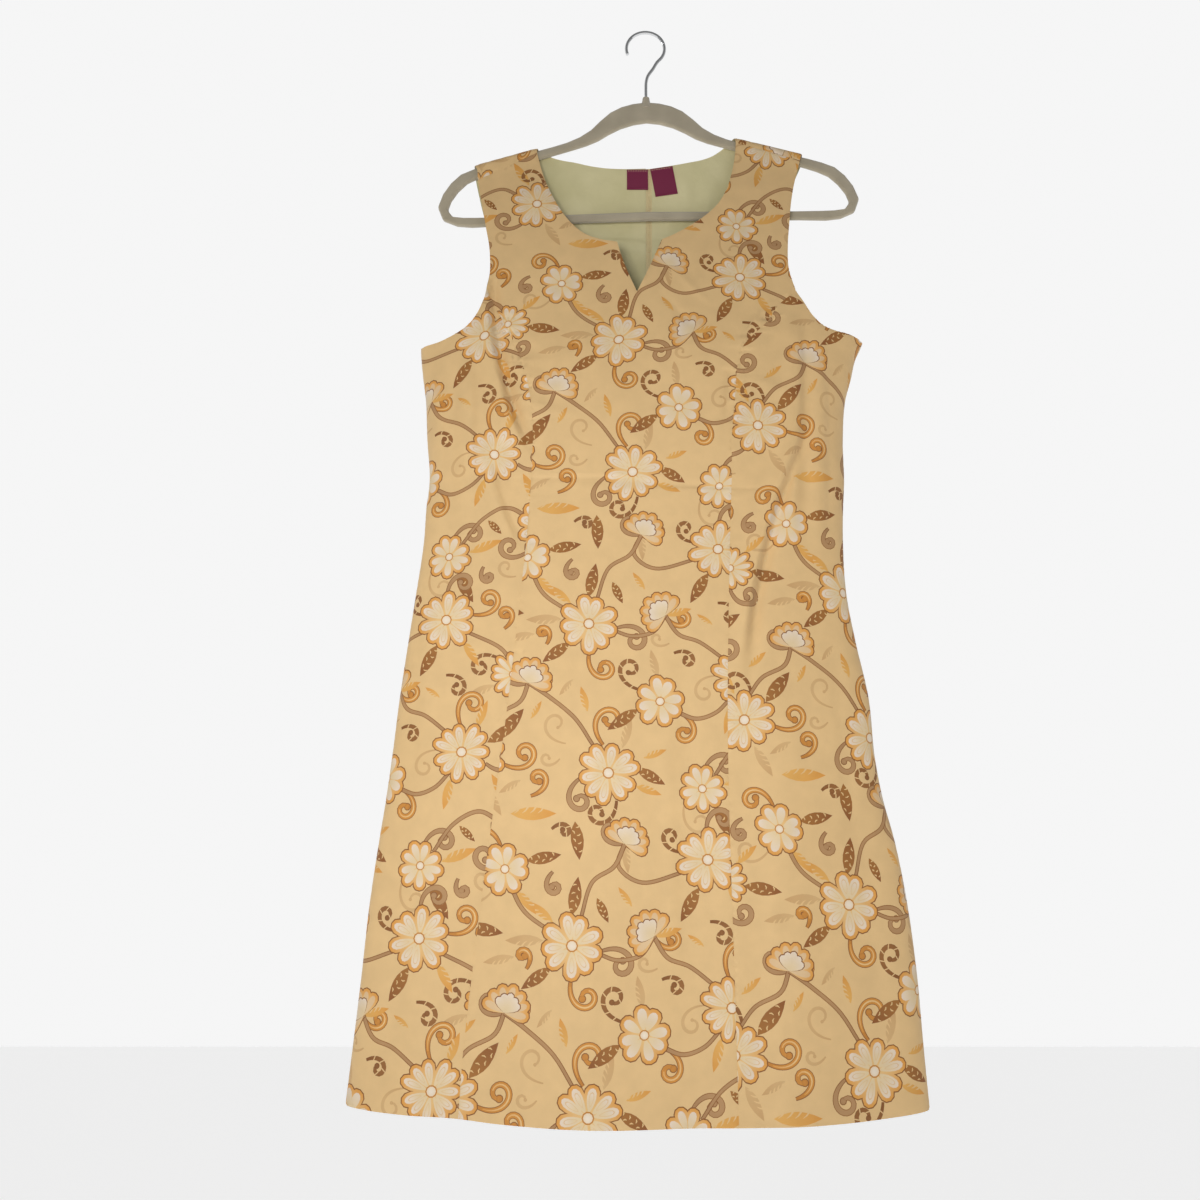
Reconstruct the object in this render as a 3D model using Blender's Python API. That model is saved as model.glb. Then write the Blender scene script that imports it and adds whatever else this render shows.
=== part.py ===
"""Sleeveless printed shift dress on a slim flocked hanger, at real size.

Every size below is in millimetres; MM turns it to metres where a mesh is made. X runs to the viewer's
right, Y away from the viewer and Z up. The origin is the inside of the hook's crown, where a rail sits.
A place on the dress is given as x and drop, the distance below that origin.

The cloth is one hanging form: a front sheet and a back sheet that meet at the side seams and pass over
the hanger's arms at the shoulders. SECTIONS gives its outline and depth from shoulder to hem, and FOLDS
the large folds. Each sewn piece is a patch of that form between its own seams, with a real wall.
"""

import math
from collections import namedtuple

import bmesh
import bpy
import numpy as np
from mathutils import Matrix, Vector
from mathutils.bvhtree import BVHTree

MM = 0.001

# Cloth and clearances
WALL = 1.5
LINING_WALL = 1.0
GAP = 0.3
SMOOTH_ANGLE = math.radians(40)
FRONT, BACK = -1, 1

# Hanger
HANGER_THICK, HANGER_STEPS = 5.5, 34
HANGER_TILT, HANGER_LEAN = math.radians(1.3), math.radians(0.75)
HANGER_EDGE = 2.4
HANGER_CLEAR = 0.6  # under the straps, where the arm slopes
PIVOT_DROP = 85.0
BOSS_TOP, BOSS_WIDE, BOSS_DEEP, BOSS_HIGH, BOSS_FLARE, BOSS_TAPER = 81.6, 8.4, 6.6, 13.0, 1.4, 0.6
WIRE = 3.8
HOOK_INNER_RADIUS, HOOK_TURN, HOOK_STEPS = 19.0, (200, -48), 56
SHANK = ((7.5, -45.5), (2.2, -54), (0.3, -62), (0, -70))  # x and z from the end of the bend to the boss
# The outside of a strap turns over the arm on this radius: arm, lining and cloth with their gaps.
RIDGE_RADIUS = HANGER_THICK / 2 + HANGER_CLEAR + LINING_WALL + GAP + WALL

# Half of the hanger's outline before it tilts: the outer edge and the edge of the opening inside it.
Station = namedtuple("Station", "outer_x outer_drop inner_x inner_drop")
HANGER_HALF = (
    Station(0, 87.5, 0, 112.5),
    Station(20, 90.5, 20, 116),
    Station(34, 96.5, 37, 123.5),
    Station(45, 104, 47, 130),
    Station(54, 114.7, 57, 136),
    Station(63, 123, 69, 140.5),
    Station(78, 132, 84, 145.3),
    Station(96, 138.6, 101, 150.5),
    Station(118, 145, 121, 156.5),
    Station(150, 154.7, 148, 165),
    Station(186, 165.6, 180, 176),
    Station(198, 170.5, 190.5, 181),
    Station(207, 178, 198.5, 188.5),
    Station(214, 187.5, 205.5, 197),
    Station(219.5, 197, 210, 205.5),
    Station(223, 206.5, 212.5, 212),
    Station(223.5, 215, 212.3, 217.5),
    Station(220, 223.3, 209, 221.5),
    Station(212, 230.2, 203, 223.4),
    Station(200, 233.2, 194, 223.8),
    Station(160, 233.3, 158, 223.8),
    Station(80, 232, 80, 222.4),
    Station(0, 230.8, 0, 220.9),
)

# The hanging form: the sides seen from the front, and how deep the middle stands off to each side.
Section = namedtuple("Section", "drop left right front back")
SECTIONS = (
    Section(100, -236, 222, 6, 6),
    Section(160, -236, 222, 7, 7),
    Section(200, -236, 222, 11, 10),
    Section(250, -236, 222, 17, 14),
    Section(300, -236, 222, 24, 18),
    Section(340, -235.5, 221, 29, 21),
    Section(376, -234, 218.5, 33, 23),
    Section(392, -232.6, 211, 34, 24),
    Section(413, -230, 205.5, 35, 25),
    Section(435, -226.7, 199, 36, 26),
    Section(478, -223.6, 194, 36, 26),
    Section(528, -219.8, 192.8, 33, 25),
    Section(548, -221.8, 191, 32, 24),
    Section(583, -223, 189, 31, 24),
    Section(644, -229.5, 190, 32, 25),
    Section(684, -234.2, 195.6, 33, 26),
    Section(742, -240.6, 205.6, 34, 27),
    Section(799, -245.6, 208.4, 35, 28),
    Section(836, -249.4, 213.6, 35, 28),
    Section(873, -254, 222, 35, 28),
    Section(927, -260, 230, 35, 28),
    Section(997, -265, 235.5, 36, 29),
    Section(1048, -269, 237, 37, 30),
    Section(1100, -273.3, 239, 38, 31),
    Section(1140, -276, 241, 38, 31),
)
LENS_POWER = 0.72  # below 1 the side seams stand rounder than an ellipse

# The line over which the straps turn. Between the straps it only steadies the depth of the cloth.
Ridge = namedtuple("Ridge", "x drop")
RIDGE_LINE = (
    Ridge(-240, 183.4),
    Ridge(-186, 166.3),
    Ridge(-116, 144.1),
    Ridge(92, 131.2),
    Ridge(120, 138.9),
    Ridge(168, 152.3),
    Ridge(240, 172),
)
SHOULDER_SETTLE = 60.0  # how far below the ridge the body's depth takes over
LEAVES_HANGER, SIDES_CLOSED = 200.0, 370.0  # between these drops the sheets close towards the side seams

# Large folds as ridges (lift > 0) and troughs (lift < 0), each a soft line from its top to its foot.
Fold = namedtuple("Fold", "side top_x top_drop foot_x foot_drop bow width lift")
FOLDS = (
    Fold(FRONT, -171, 285, -124, 520, -13, 10, 3.4),
    Fold(FRONT, -158, 290, -111, 512, -14, 9, -3.2),
    Fold(FRONT, -158, 470, -122, 640, 6, 9, -2.2),
    Fold(FRONT, -212, 385, -207, 590, 3, 11, 2.6),
    Fold(FRONT, -199, 385, -195, 600, 0, 8, -2.2),
    Fold(FRONT, -184, 380, -180, 560, 2, 9, 2.4),
    Fold(FRONT, 146, 335, 128, 600, 4, 11, 3.0),
    Fold(FRONT, 157, 335, 147, 600, 2, 8, -2.4),
    Fold(FRONT, 172, 345, 159, 620, 2, 11, 2.6),
    Fold(FRONT, 165, 455, 88, 745, -13, 7, -3.2),
    Fold(FRONT, 153, 455, 76, 745, -13, 9, 3.0),
    Fold(FRONT, -72, 350, -76, 455, 0, 42, 4.0),
    Fold(FRONT, 38, 350, 36, 455, 0, 42, 4.0),
    Fold(FRONT, -18, 330, -18, 470, 0, 26, -2.0),
    Fold(FRONT, -196, 760, -222, 1190, 5, 26, 3.2),
    Fold(FRONT, -112, 820, -128, 1190, 4, 24, -2.6),
    Fold(FRONT, -46, 700, -52, 1190, -4, 34, 2.4),
    Fold(FRONT, 26, 820, 30, 1190, 3, 24, -2.4),
    Fold(FRONT, 118, 700, 132, 1190, -5, 26, 3.2),
    Fold(FRONT, 186, 820, 196, 1190, 3, 20, -2.4),
    Fold(BACK, -160, 330, -150, 640, 4, 16, 3.0),
    Fold(BACK, -96, 300, -104, 600, -5, 20, -2.2),
    Fold(BACK, 92, 300, 84, 620, 4, 18, 2.8),
    Fold(BACK, 150, 340, 140, 640, -4, 15, -2.2),
    Fold(BACK, -60, 560, -78, 1190, 6, 30, 3.4),
    Fold(BACK, -176, 700, -200, 1190, -4, 26, -2.6),
    Fold(BACK, 62, 600, 76, 1190, -5, 28, 3.2),
    Fold(BACK, 150, 720, 172, 1190, 4, 24, -2.6),
)
FOLD_FADE = 70.0  # a fold grows from nothing over this length at each end

# Edges and seams of the front, each a smooth line through (x, drop).
HEM_LINE = (
    (-277, 1100.5), (-250, 1103.4), (-221, 1105.2), (-171, 1108), (-133, 1112.5), (-50, 1116), (26, 1115),
    (120, 1113.8), (190, 1110), (241, 1104.5),
)  # fmt: skip
NECK_LEFT = (
    (-117.3, 152.5), (-112.8, 171), (-106.1, 193), (-97.3, 214), (-88.2, 230.5), (-77.1, 245.5),
    (-65.5, 256), (-50, 262.5), (-32.4, 266),
)  # fmt: skip
NECK_RIGHT = (
    (95.5, 140.5), (94.1, 156), (89.6, 179), (82.9, 201), (73.9, 217.5), (62.4, 230.5), (46.9, 243.2),
    (27.8, 256), (14.2, 263),
)  # fmt: skip
NOTCH_LEFT = ((-32.4, 266), (-25.4, 292), (-12.4, 327.5))
NOTCH_RIGHT = ((14.2, 263), (1.3, 296), (-12.4, 327.5))
CENTRE = ((-12.4, 327.5), (-14, 600), (-16, 860), (-18, 1118))
ARMHOLE_LEFT = (
    (-179.8, 186), (-178, 197), (-173.9, 219), (-168.8, 248), (-165, 269), (-163.3, 290), (-163.3, 308),
    (-165.3, 322),
)  # fmt: skip
ARMHOLE_RIGHT = (
    (163.4, 162), (161, 171), (156.7, 187), (151.4, 213), (147.9, 240.5), (144.8, 269), (144.2, 297),
    (150.2, 324),
)  # fmt: skip
UNDERARM_LEFT = (
    (-165.3, 322), (-168.8, 336), (-176.8, 353.5), (-187.7, 365.5), (-200.8, 373.5), (-213, 378.5),
    (-234, 381),
)  # fmt: skip
UNDERARM_RIGHT = (
    (150.2, 324), (156.7, 334.5), (167, 352.5), (176.8, 362.5), (189, 367), (204, 369.5), (219, 374.5),
)  # fmt: skip
PRINCESS_LEFT = (
    (-165.3, 322), (-157.5, 340), (-147.7, 361), (-135, 388.5), (-124.4, 419), (-118.5, 449),
    (-116.2, 480.5), (-117.2, 531), (-120.9, 589), (-126.5, 656), (-132.3, 716.5), (-139.6, 786.5),
    (-147.9, 857), (-156.7, 935.5), (-163.1, 997), (-168.6, 1058.5), (-171, 1107),
)  # fmt: skip
PRINCESS_RIGHT = (
    (150.2, 324), (130.6, 342), (120.3, 359), (108.6, 372), (95.5, 386.5), (86.9, 411), (83.7, 441),
    (79.7, 480.5), (78, 531.5), (76.3, 564), (73, 632), (69.7, 705), (67.4, 786), (67, 870), (67.7, 978),
    (67.9, 1068), (68, 1115),
)  # fmt: skip
UNDERARM_DROP_LEFT, UNDERARM_DROP_RIGHT = 381.0, 374.5
# The shoulder seams lie on the front, below the ridge: armhole end, then neck end.
SHOULDER_LEFT = (ARMHOLE_LEFT[0], NECK_LEFT[0])
SHOULDER_RIGHT = (ARMHOLE_RIGHT[0], NECK_RIGHT[0])

# Edges of the back. Each starts at the shoulder seam and turns over the arm: the x there, a sixth of the
# turn apart, comes first, and then the places down the back from the foot of the turn.
NECK_OVER_LEFT = (-117.2, -117.1, -117, -116.8, -115.3, -111.5, -106)
NECK_OVER_RIGHT = (95.3, 95, 94.5, 93.6, 92, 89.5, 86.5)
BACK_NECK_LEFT = (
    (-106, 149.6), (-102.7, 151.9), (-93, 155.3), (-77, 158.5), (-60.7, 162.5), (-44.6, 165), (-28.5, 165.9),
    (2.5, 165.4),
)  # fmt: skip
BACK_NECK_RIGHT = (
    (86.5, 137.7), (84.5, 140), (79.3, 144.7), (70.5, 150.8), (60.7, 154.8), (46.7, 158), (30.6, 161.2),
    (14.5, 164), (2.5, 165.4),
)  # fmt: skip
BACK_CENTRE = ((2.5, 165.4), (0, 500), (-8, 860), (-14, 1118))
ARM_OVER_LEFT = (-181.5, -183, -184, -184.5, -184.5, -184.3, -184)
ARM_OVER_RIGHT = (164.4, 165.5, 166.4, 167, 167, 166.8, 166.5)
BACK_ARMHOLE_LEFT = (
    (-184, 172.5), (-178, 203), (-170.5, 234), (-166, 258), (-164, 280), (-164, 298), (-166.5, 316),
    (-173, 337), (-184, 356), (-199, 369), (-215, 378), (-234, 381),
)  # fmt: skip
BACK_ARMHOLE_RIGHT = (
    (166.5, 158), (158.5, 180), (153, 206), (149.5, 232), (147, 258), (146.5, 283), (149.5, 303),
    (156.5, 322), (166.5, 342), (178, 357), (191, 366.5), (204, 372), (219, 374.5),
)  # fmt: skip

# Each side's own lines, so that a left and a right piece are cut by the same steps.
Side = namedtuple(
    "Side",
    "share shoulder neck notch armhole underarm underarm_drop princess"
    " neck_over back_neck arm_over back_armhole",
)
LEFT = Side(
    -1, SHOULDER_LEFT, NECK_LEFT, NOTCH_LEFT, ARMHOLE_LEFT, UNDERARM_LEFT, UNDERARM_DROP_LEFT, PRINCESS_LEFT,
    NECK_OVER_LEFT, BACK_NECK_LEFT, ARM_OVER_LEFT, BACK_ARMHOLE_LEFT,
)  # fmt: skip
RIGHT = Side(
    1, SHOULDER_RIGHT, NECK_RIGHT, NOTCH_RIGHT, ARMHOLE_RIGHT, UNDERARM_RIGHT, UNDERARM_DROP_RIGHT,
    PRINCESS_RIGHT, NECK_OVER_RIGHT, BACK_NECK_RIGHT, ARM_OVER_RIGHT, BACK_ARMHOLE_RIGHT,
)  # fmt: skip

# Labels and zip, on the inside and outside of the back
Label = namedtuple("Label", "name left top width height lean rise")
LABELS = (
    Label("label_neck", -21.2, 167.2, 22.6, 22.5, 0.0, 0.0),
    Label("label_care", 3.8, 166.6, 24, 31, 5.6, 3.6),
)
LABEL_WALL, LABEL_ROWS, LABEL_ACROSS = 1.0, 4, 3
ZIP_TOP, ZIP_FOOT, CHAIN_WIDE, CHAIN_ROOM = 166.0, 722.0, 5.0, 0.8
SLIDER_DROP, SLIDER_WIDE, SLIDER_LONG, SLIDER_THICK = 175.0, 6.6, 9.0, 1.4
PIN_RADIUS, PIN_OUT = 0.55, 0.9
BRIDGE_WIDE, BRIDGE_REACH, BRIDGE_HALF, BRIDGE_BAR, BRIDGE_SUNK = 1.6, 1.8, 1.8, 0.9, 0.5
PULL_LONG, PULL_WIDE, PULL_WINDOW, PULL_BAR = 22.0, 5.4, 4.4, 1.1
PULL_EYE_WIDE, PULL_NECK, PULL_ROUND = 3.0, 2.4, 0.22


def through(points, shares):
    """Places at shares, 0 to 1, of the length of a smooth line through the points."""
    points = np.array(points, float)
    lengths = np.linalg.norm(np.diff(points, axis=0), axis=1)
    knots = np.concatenate([[0.0], np.cumsum(lengths)])
    return smooth_table(knots, points, np.asarray(shares) * knots[-1])


def smooth_table(knots, values, wanted):
    """Values at the wanted places on the cubic curves through the rows of a table."""
    slopes = np.gradient(values, knots, axis=0)
    row = np.clip(np.searchsorted(knots, wanted) - 1, 0, len(knots) - 2)
    step = (knots[row + 1] - knots[row])[..., None]
    t = (wanted - knots[row])[..., None] / step
    return (
        values[row] * (1 + 2 * t) * (1 - t) ** 2
        + values[row + 1] * t**2 * (3 - 2 * t)
        + slopes[row] * step * t * (1 - t) ** 2
        - slopes[row + 1] * step * t**2 * (1 - t)
    )


def ease(t):
    """0 to 1 with flat ends."""
    t = np.clip(t, 0, 1)
    return t * t * (3 - 2 * t)


# Steps down the pieces: along the neck, the notch and the armhole, then to ROWS_MEET, then to the hem.
NECK_ROWS, NOTCH_ROWS, ARM_ROWS, BUST_ROWS, SKIRT_ROWS = 7, 4, 9, 6, 14
BACK_NECK_ROWS, BACK_ARM_ROWS = 6, 12
ROWS_MEET = 500.0
UNDERARM_MEET = 412.0  # where the row from the back's underarm meets the centre, so that no rows cross
HALF_ACROSS, SIDE_ACROSS, BACK_ACROSS = 9, 8, 11

SECTION_ROWS = np.array(SECTIONS, float)
RIDGE_ROWS = np.array(RIDGE_LINE, float)
HEM_ROWS = np.array(HEM_LINE, float)


def outline(drop):
    """left, right, front and back of the form at each drop."""
    clipped = np.clip(drop, SECTION_ROWS[0, 0], SECTION_ROWS[-1, 0])
    return np.moveaxis(smooth_table(SECTION_ROWS[:, 0], SECTION_ROWS[:, 1:], clipped), -1, 0)


def ridge_base(x):
    """The drop at which a sheet starts to turn over the hanger's arm."""
    return np.interp(x, RIDGE_ROWS[:, 0], RIDGE_ROWS[:, 1]) + RIDGE_RADIUS


def share_at(x, drop):
    """How far across the form x lies, from -1 at the left side seam to 1 at the right one."""
    left, right, _, _ = outline(drop)
    return np.arcsin(np.clip((2 * x - left - right) / (right - left), -1, 1)) * 2 / math.pi


def fold_lift(side, x, drop):
    lift = np.zeros_like(x)
    for fold in (fold for fold in FOLDS if fold.side == side):
        t = (drop - fold.top_drop) / (fold.foot_drop - fold.top_drop)
        line = fold.top_x + (fold.foot_x - fold.top_x) * t + 4 * fold.bow * t * (1 - t)
        fade = ease((drop - fold.top_drop) / FOLD_FADE) * ease((fold.foot_drop - drop) / FOLD_FADE)
        lift += fold.lift * fade * np.exp(-(((x - line) / fold.width) ** 2))
    return lift


def sheet_point(side, share, drop):
    """The outer face of the front or back sheet, below the ridge."""
    left, right, front, back = outline(drop)
    angle = share * math.pi / 2
    x = (left + right) / 2 + (right - left) / 2 * np.sin(angle)
    lens = np.sign(np.cos(angle)) * np.abs(np.cos(angle)) ** LENS_POWER
    flat = RIDGE_RADIUS * (1 - ease((drop - LEAVES_HANGER) / (SIDES_CLOSED - LEAVES_HANGER)))
    settled = ease((drop - ridge_base(x)) / SHOULDER_SETTLE)
    depth = flat + ((front if side == FRONT else back) - flat) * lens * settled
    lift = fold_lift(side, x, drop) * ease(2 * lens) * settled
    return np.stack([x, side * (depth + lift), -drop], axis=-1)


def cloth_point(side, places):
    """The outer face at (share, run), where run is the drop measured along the cloth: it goes on over
    the ridge and down the other sheet."""
    share, run = np.moveaxis(places, -1, 0)
    left, right, _, _ = outline(SECTION_ROWS[0, 0])
    ridge_x = (left + right) / 2 + (right - left) / 2 * np.sin(share * math.pi / 2)
    base = ridge_base(ridge_x)
    turn = (base - run) / RIDGE_RADIUS
    near = sheet_point(side, share, np.maximum(run, base))
    far = sheet_point(-side, share, np.maximum(2 * base - run - math.pi * RIDGE_RADIUS, base))
    over = np.stack(
        [ridge_x, side * RIDGE_RADIUS * np.cos(turn), RIDGE_RADIUS * np.sin(turn) - base], axis=-1
    )
    return np.where((turn <= 0)[..., None], near, np.where((turn < math.pi)[..., None], over, far))


def cloth_frame(side, places):
    """The outer face, its slopes along share and run, and its outward normal."""
    across, along = np.array([2e-3, 0.0]), np.array([0.0, 0.4])
    by_share = (cloth_point(side, places + across) - cloth_point(side, places - across)) / (2 * across[0])
    by_run = (cloth_point(side, places + along) - cloth_point(side, places - along)) / (2 * along[1])
    normal = side * np.cross(by_share, by_run)
    normal /= np.linalg.norm(normal, axis=-1, keepdims=True)
    return cloth_point(side, places), by_share, by_run, normal


def edge(*stretches):
    """(share, run) places down one edge of a piece, from stretches of (points, steps)."""
    places = []
    for points, steps in stretches:
        x, run = through(points, np.linspace(0, 1, steps + 1)).T
        part = np.stack([share_at(x, run), run], axis=-1)
        places.append(part if not places else part[1:])
    return np.concatenate(places)


def over_ridge(x, drop):
    """The run of a place on the front, measured along the back sheet and over the arm."""
    return 2 * ridge_base(x) - math.pi * RIDGE_RADIUS - drop


def from_shoulder(seam_end, over, points, steps):
    """A back edge from the end of a shoulder seam, which lies on the front, over the arm and down."""
    x = np.array((seam_end[0],) + over)
    turned = np.linspace(math.pi, 0, len(over)) * RIDGE_RADIUS
    run = np.concatenate([[over_ridge(*seam_end)], ridge_base(x[1:]) - turned])
    foot = (over[-1], float(ridge_base(over[-1])))
    places = np.stack([share_at(x, run), run], axis=-1)
    return np.concatenate([places[:-1], edge(((foot,) + points[1:], steps))])


def shoulder_seam(side, start, end, across):
    """The straight seam between two places on the front, as a row of either sheet."""
    x, drop = np.linspace(start, end, across + 1).T
    run = drop if side == FRONT else over_ridge(x, drop)
    return np.stack([share_at(x, run), run], axis=-1)


def hem_run(share):
    left, right, _, _ = outline(HEM_ROWS[:, 1].mean())
    x = (left + right) / 2 + (right - left) / 2 * np.sin(share * math.pi / 2)
    return smooth_table(HEM_ROWS[:, 0], HEM_ROWS[:, 1:], np.asarray(x))[..., 0]


def to_hem(points, *stages):
    """An edge down to the hem line. Each stage is (steps, drop at its foot), and SKIRT_ROWS come last."""
    fine = np.linspace(0, 1, 401)
    down = through(points, fine)[:, 1]
    shares = np.zeros(1)
    for steps, foot in stages + ((SKIRT_ROWS, down[-1]),):
        stretch = np.linspace(shares[-1], np.interp(foot, down, fine), steps + 1)
        shares = np.concatenate([shares, stretch[1:]])
    x, run = through(points, shares).T
    places = np.stack([share_at(x, run), run], axis=-1)
    places[-1, 1] = hem_run(places[-1, 0])
    return places


def side_seam(side):
    run = np.concatenate(
        [
            np.linspace(side.underarm_drop, ROWS_MEET, BUST_ROWS + 1),
            np.linspace(ROWS_MEET, hem_run(side.share), SKIRT_ROWS + 1)[1:],
        ]
    )
    return np.stack([np.full_like(run, side.share), run], axis=-1)


def hem_line(left, right, across):
    share = np.linspace(left[-1, 0], right[-1, 0], across + 1)
    return np.stack([share, hem_run(share)], axis=-1)


def patch(left, right, across, top=None, foot=None):
    """A grid of places between two edges, bent to the top and foot lines where they are given."""
    u = np.linspace(0, 1, across + 1)[None, :, None]
    v = np.linspace(0, 1, len(left))[:, None, None]
    grid = left[:, None] * (1 - u) + right[:, None] * u
    if top is not None:
        grid = grid + (1 - v) * (top - grid[0])
    if foot is not None:
        grid = grid + v * (foot - grid[-1])
    return grid


def joined(grids):
    """One list of places and triangles from grids that share edges."""
    places, faces, index = [], [], {}
    for grid in grids:
        rows, columns = grid.shape[:2]
        numbers = np.zeros((rows, columns), int)
        for i in range(rows):
            for j in range(columns):
                key = tuple(np.round(grid[i, j], 6))
                if key not in index:
                    index[key] = len(places)
                    places.append(grid[i, j])
                numbers[i, j] = index[key]
        for i in range(rows - 1):
            for j in range(columns - 1):
                corner = numbers[i + 1, j + 1]
                faces.append((numbers[i, j], numbers[i + 1, j], corner))
                faces.append((numbers[i, j], corner, numbers[i, j + 1]))
    return np.array(places), faces


def rim_of(faces):
    """Directed edges that only one face has."""
    edges = {(a, b) for face in faces for a, b in zip(face, face[1:] + face[:1])}
    return [(a, b) for a, b in edges if (b, a) not in edges]


def trimmed(side, places, faces, by):
    """The places with the rim moved in along the cloth, so that neighbours stand twice as far apart."""
    points, by_share, by_run, normals = cloth_frame(side, places)
    inward = {}
    for a, b in rim_of(faces):
        middle = np.cross(normals[a] + normals[b], points[b] - points[a])
        middle *= -side / np.linalg.norm(middle)
        for end in (a, b):
            inward.setdefault(end, []).append(middle)
    moved = places.copy()
    for end, (one, other) in inward.items():
        shift = (one + other) / (1 + one @ other) * by
        slopes = np.stack([by_share[end], by_run[end]], axis=-1)
        moved[end] += np.linalg.lstsq(slopes, shift, rcond=None)[0]
    return moved


def finish(name, mesh_source, material):
    """A named object in metres from a bmesh in millimetres."""
    bmesh.ops.scale(mesh_source, vec=(MM, MM, MM), verts=mesh_source.verts)
    bmesh.ops.recalc_face_normals(mesh_source, faces=mesh_source.faces)
    mesh = bpy.data.meshes.new(name)
    mesh_source.to_mesh(mesh)
    mesh_source.free()
    mesh.shade_smooth()
    mesh.set_sharp_from_angle(angle=SMOOTH_ANGLE)
    mesh.materials.append(material)
    piece = bpy.data.objects.new(name, mesh)
    bpy.context.scene.collection.objects.link(piece)
    return piece


def cloth_piece(name, side, grids, material, inset=0.0, wall=WALL):
    """A wall of cloth over the grids, inset below the outer face."""
    places, faces = joined(grids)
    places = trimmed(side, places, faces, GAP / 2)
    points, _, _, normals = cloth_frame(side, places)
    outer = points - inset * normals
    inner = outer - wall * normals
    piece = bmesh.new()
    corners = [piece.verts.new(point) for point in np.concatenate([outer, inner])]
    under = len(outer)
    for face in faces:
        piece.faces.new([corners[i] for i in face])
        piece.faces.new([corners[i + under] for i in reversed(face)])
    for a, b in rim_of(faces):
        piece.faces.new([corners[b], corners[a], corners[a + under], corners[b + under]])
    return finish(name, piece, material)


def material(name, colour, roughness, metallic=0.0):
    made = bpy.data.materials.new(name)
    made.use_nodes = True
    shader = made.node_tree.nodes["Principled BSDF"]
    shader.inputs["Base Color"].default_value = (*colour, 1)
    shader.inputs["Roughness"].default_value = roughness
    shader.inputs["Metallic"].default_value = metallic
    made.diffuse_color = (*colour, 1)
    return made


# --- Shell and lining ----------------------------------------------------------------------------------


def front_grids(side):
    """Half of the centre panel, and the side panel beside it."""
    centre_rows = ARM_ROWS + BUST_ROWS - NECK_ROWS - NOTCH_ROWS
    princess = to_hem(side.princess, (BUST_ROWS, ROWS_MEET))
    outer = np.concatenate([edge((side.armhole, ARM_ROWS))[:-1], princess])
    neckline = edge((side.neck, NECK_ROWS), (side.notch, NOTCH_ROWS))
    inner = np.concatenate([neckline[:-1], to_hem(CENTRE, (centre_rows, ROWS_MEET))])
    top = shoulder_seam(FRONT, *side.shoulder, HALF_ACROSS)
    half = patch(outer, inner, HALF_ACROSS, top, hem_line(outer, inner, HALF_ACROSS))

    seam = side_seam(side)
    underarm = edge((side.underarm, SIDE_ACROSS))
    underarm[-1] = seam[0]
    panel = patch(princess, seam, SIDE_ACROSS, underarm, hem_line(princess, seam, SIDE_ACROSS))
    return half[:, :: -side.share], panel[:, :: side.share]


def centre_back_rows():
    above = BACK_ARM_ROWS - BACK_NECK_ROWS
    return to_hem(BACK_CENTRE, (above, UNDERARM_MEET), (BUST_ROWS, ROWS_MEET))


def back_grid(side):
    armhole = from_shoulder(side.shoulder[0], side.arm_over, side.back_armhole, BACK_ARM_ROWS)
    neck = from_shoulder(side.shoulder[1], side.neck_over, side.back_neck, BACK_NECK_ROWS)
    outer = np.concatenate([armhole[:-1], side_seam(side)])
    inner = np.concatenate([neck[:-1], centre_back_rows()])
    top = shoulder_seam(BACK, *side.shoulder, BACK_ACROSS)
    return patch(outer, inner, BACK_ACROSS, top, hem_line(outer, inner, BACK_ACROSS))[:, :: -side.share]


def beside_zip(grid, side):
    """The grid of a back with its centre edge moved over to leave the zip's chain free."""
    grid = grid.copy()
    edge_column = -1 if side is LEFT else 0
    x = cloth_point(BACK, grid[:, edge_column])[:, 0] + side.share * (CHAIN_WIDE / 2 + CHAIN_ROOM)
    below_turn = grid[:, edge_column, 1] > BACK_CENTRE[0][1] - 1
    moved = share_at(x, grid[:, edge_column, 1])
    grid[below_turn, edge_column, 0] = moved[below_turn]
    return grid


def make_shell(cloth, lining):
    """The sewn panels. The lining is made from their points, moved in, down to ROWS_MEET."""
    inset = WALL + GAP
    halves, panels = [], []
    for name, side in (("left", LEFT), ("right", RIGHT)):
        half, panel = front_grids(side)
        back = back_grid(side)
        cloth_piece("front_side_" + name, FRONT, [panel], cloth)
        cloth_piece("back_" + name, BACK, [back], cloth)
        back_lining = beside_zip(back, side)[:-SKIRT_ROWS]
        cloth_piece("lining_back_" + name, BACK, [back_lining], lining, inset, LINING_WALL)
        halves.append(half)
        panels.append(panel)
    cloth_piece("front_centre", FRONT, halves, cloth)
    front_lining = [grid[:-SKIRT_ROWS] for grid in halves + panels]
    cloth_piece("lining_front", FRONT, front_lining, lining, inset, LINING_WALL)


def make_labels(cloth):
    """Labels lie on the facets of the back lining, sewn on just under the neck."""
    places, faces = joined([back_grid(side) for side in (LEFT, RIGHT)])
    points, _, _, normals = cloth_frame(BACK, places)
    under = points - (WALL + GAP + LINING_WALL) * normals
    lining = BVHTree.FromPolygons(under.tolist(), faces)
    for label in LABELS:
        piece = bmesh.new()
        rows = []
        for v in np.linspace(0, 1, LABEL_ROWS + 1):
            row = []
            for u in np.linspace(0, 1, LABEL_ACROSS + 1):
                x = label.left + u * label.width + v * label.lean
                drop = label.top + v * label.height - u * label.rise
                point, normal, _, _ = lining.ray_cast(Vector((x, 0, -drop)), Vector((0, 1, 0)))
                off = -normal if normal.y > 0 else normal
                row.append([piece.verts.new(point + off * (GAP + depth)) for depth in (0, LABEL_WALL)])
            rows.append(row)
        shell_of(piece, rows)
        finish(label.name, piece, cloth)


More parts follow.
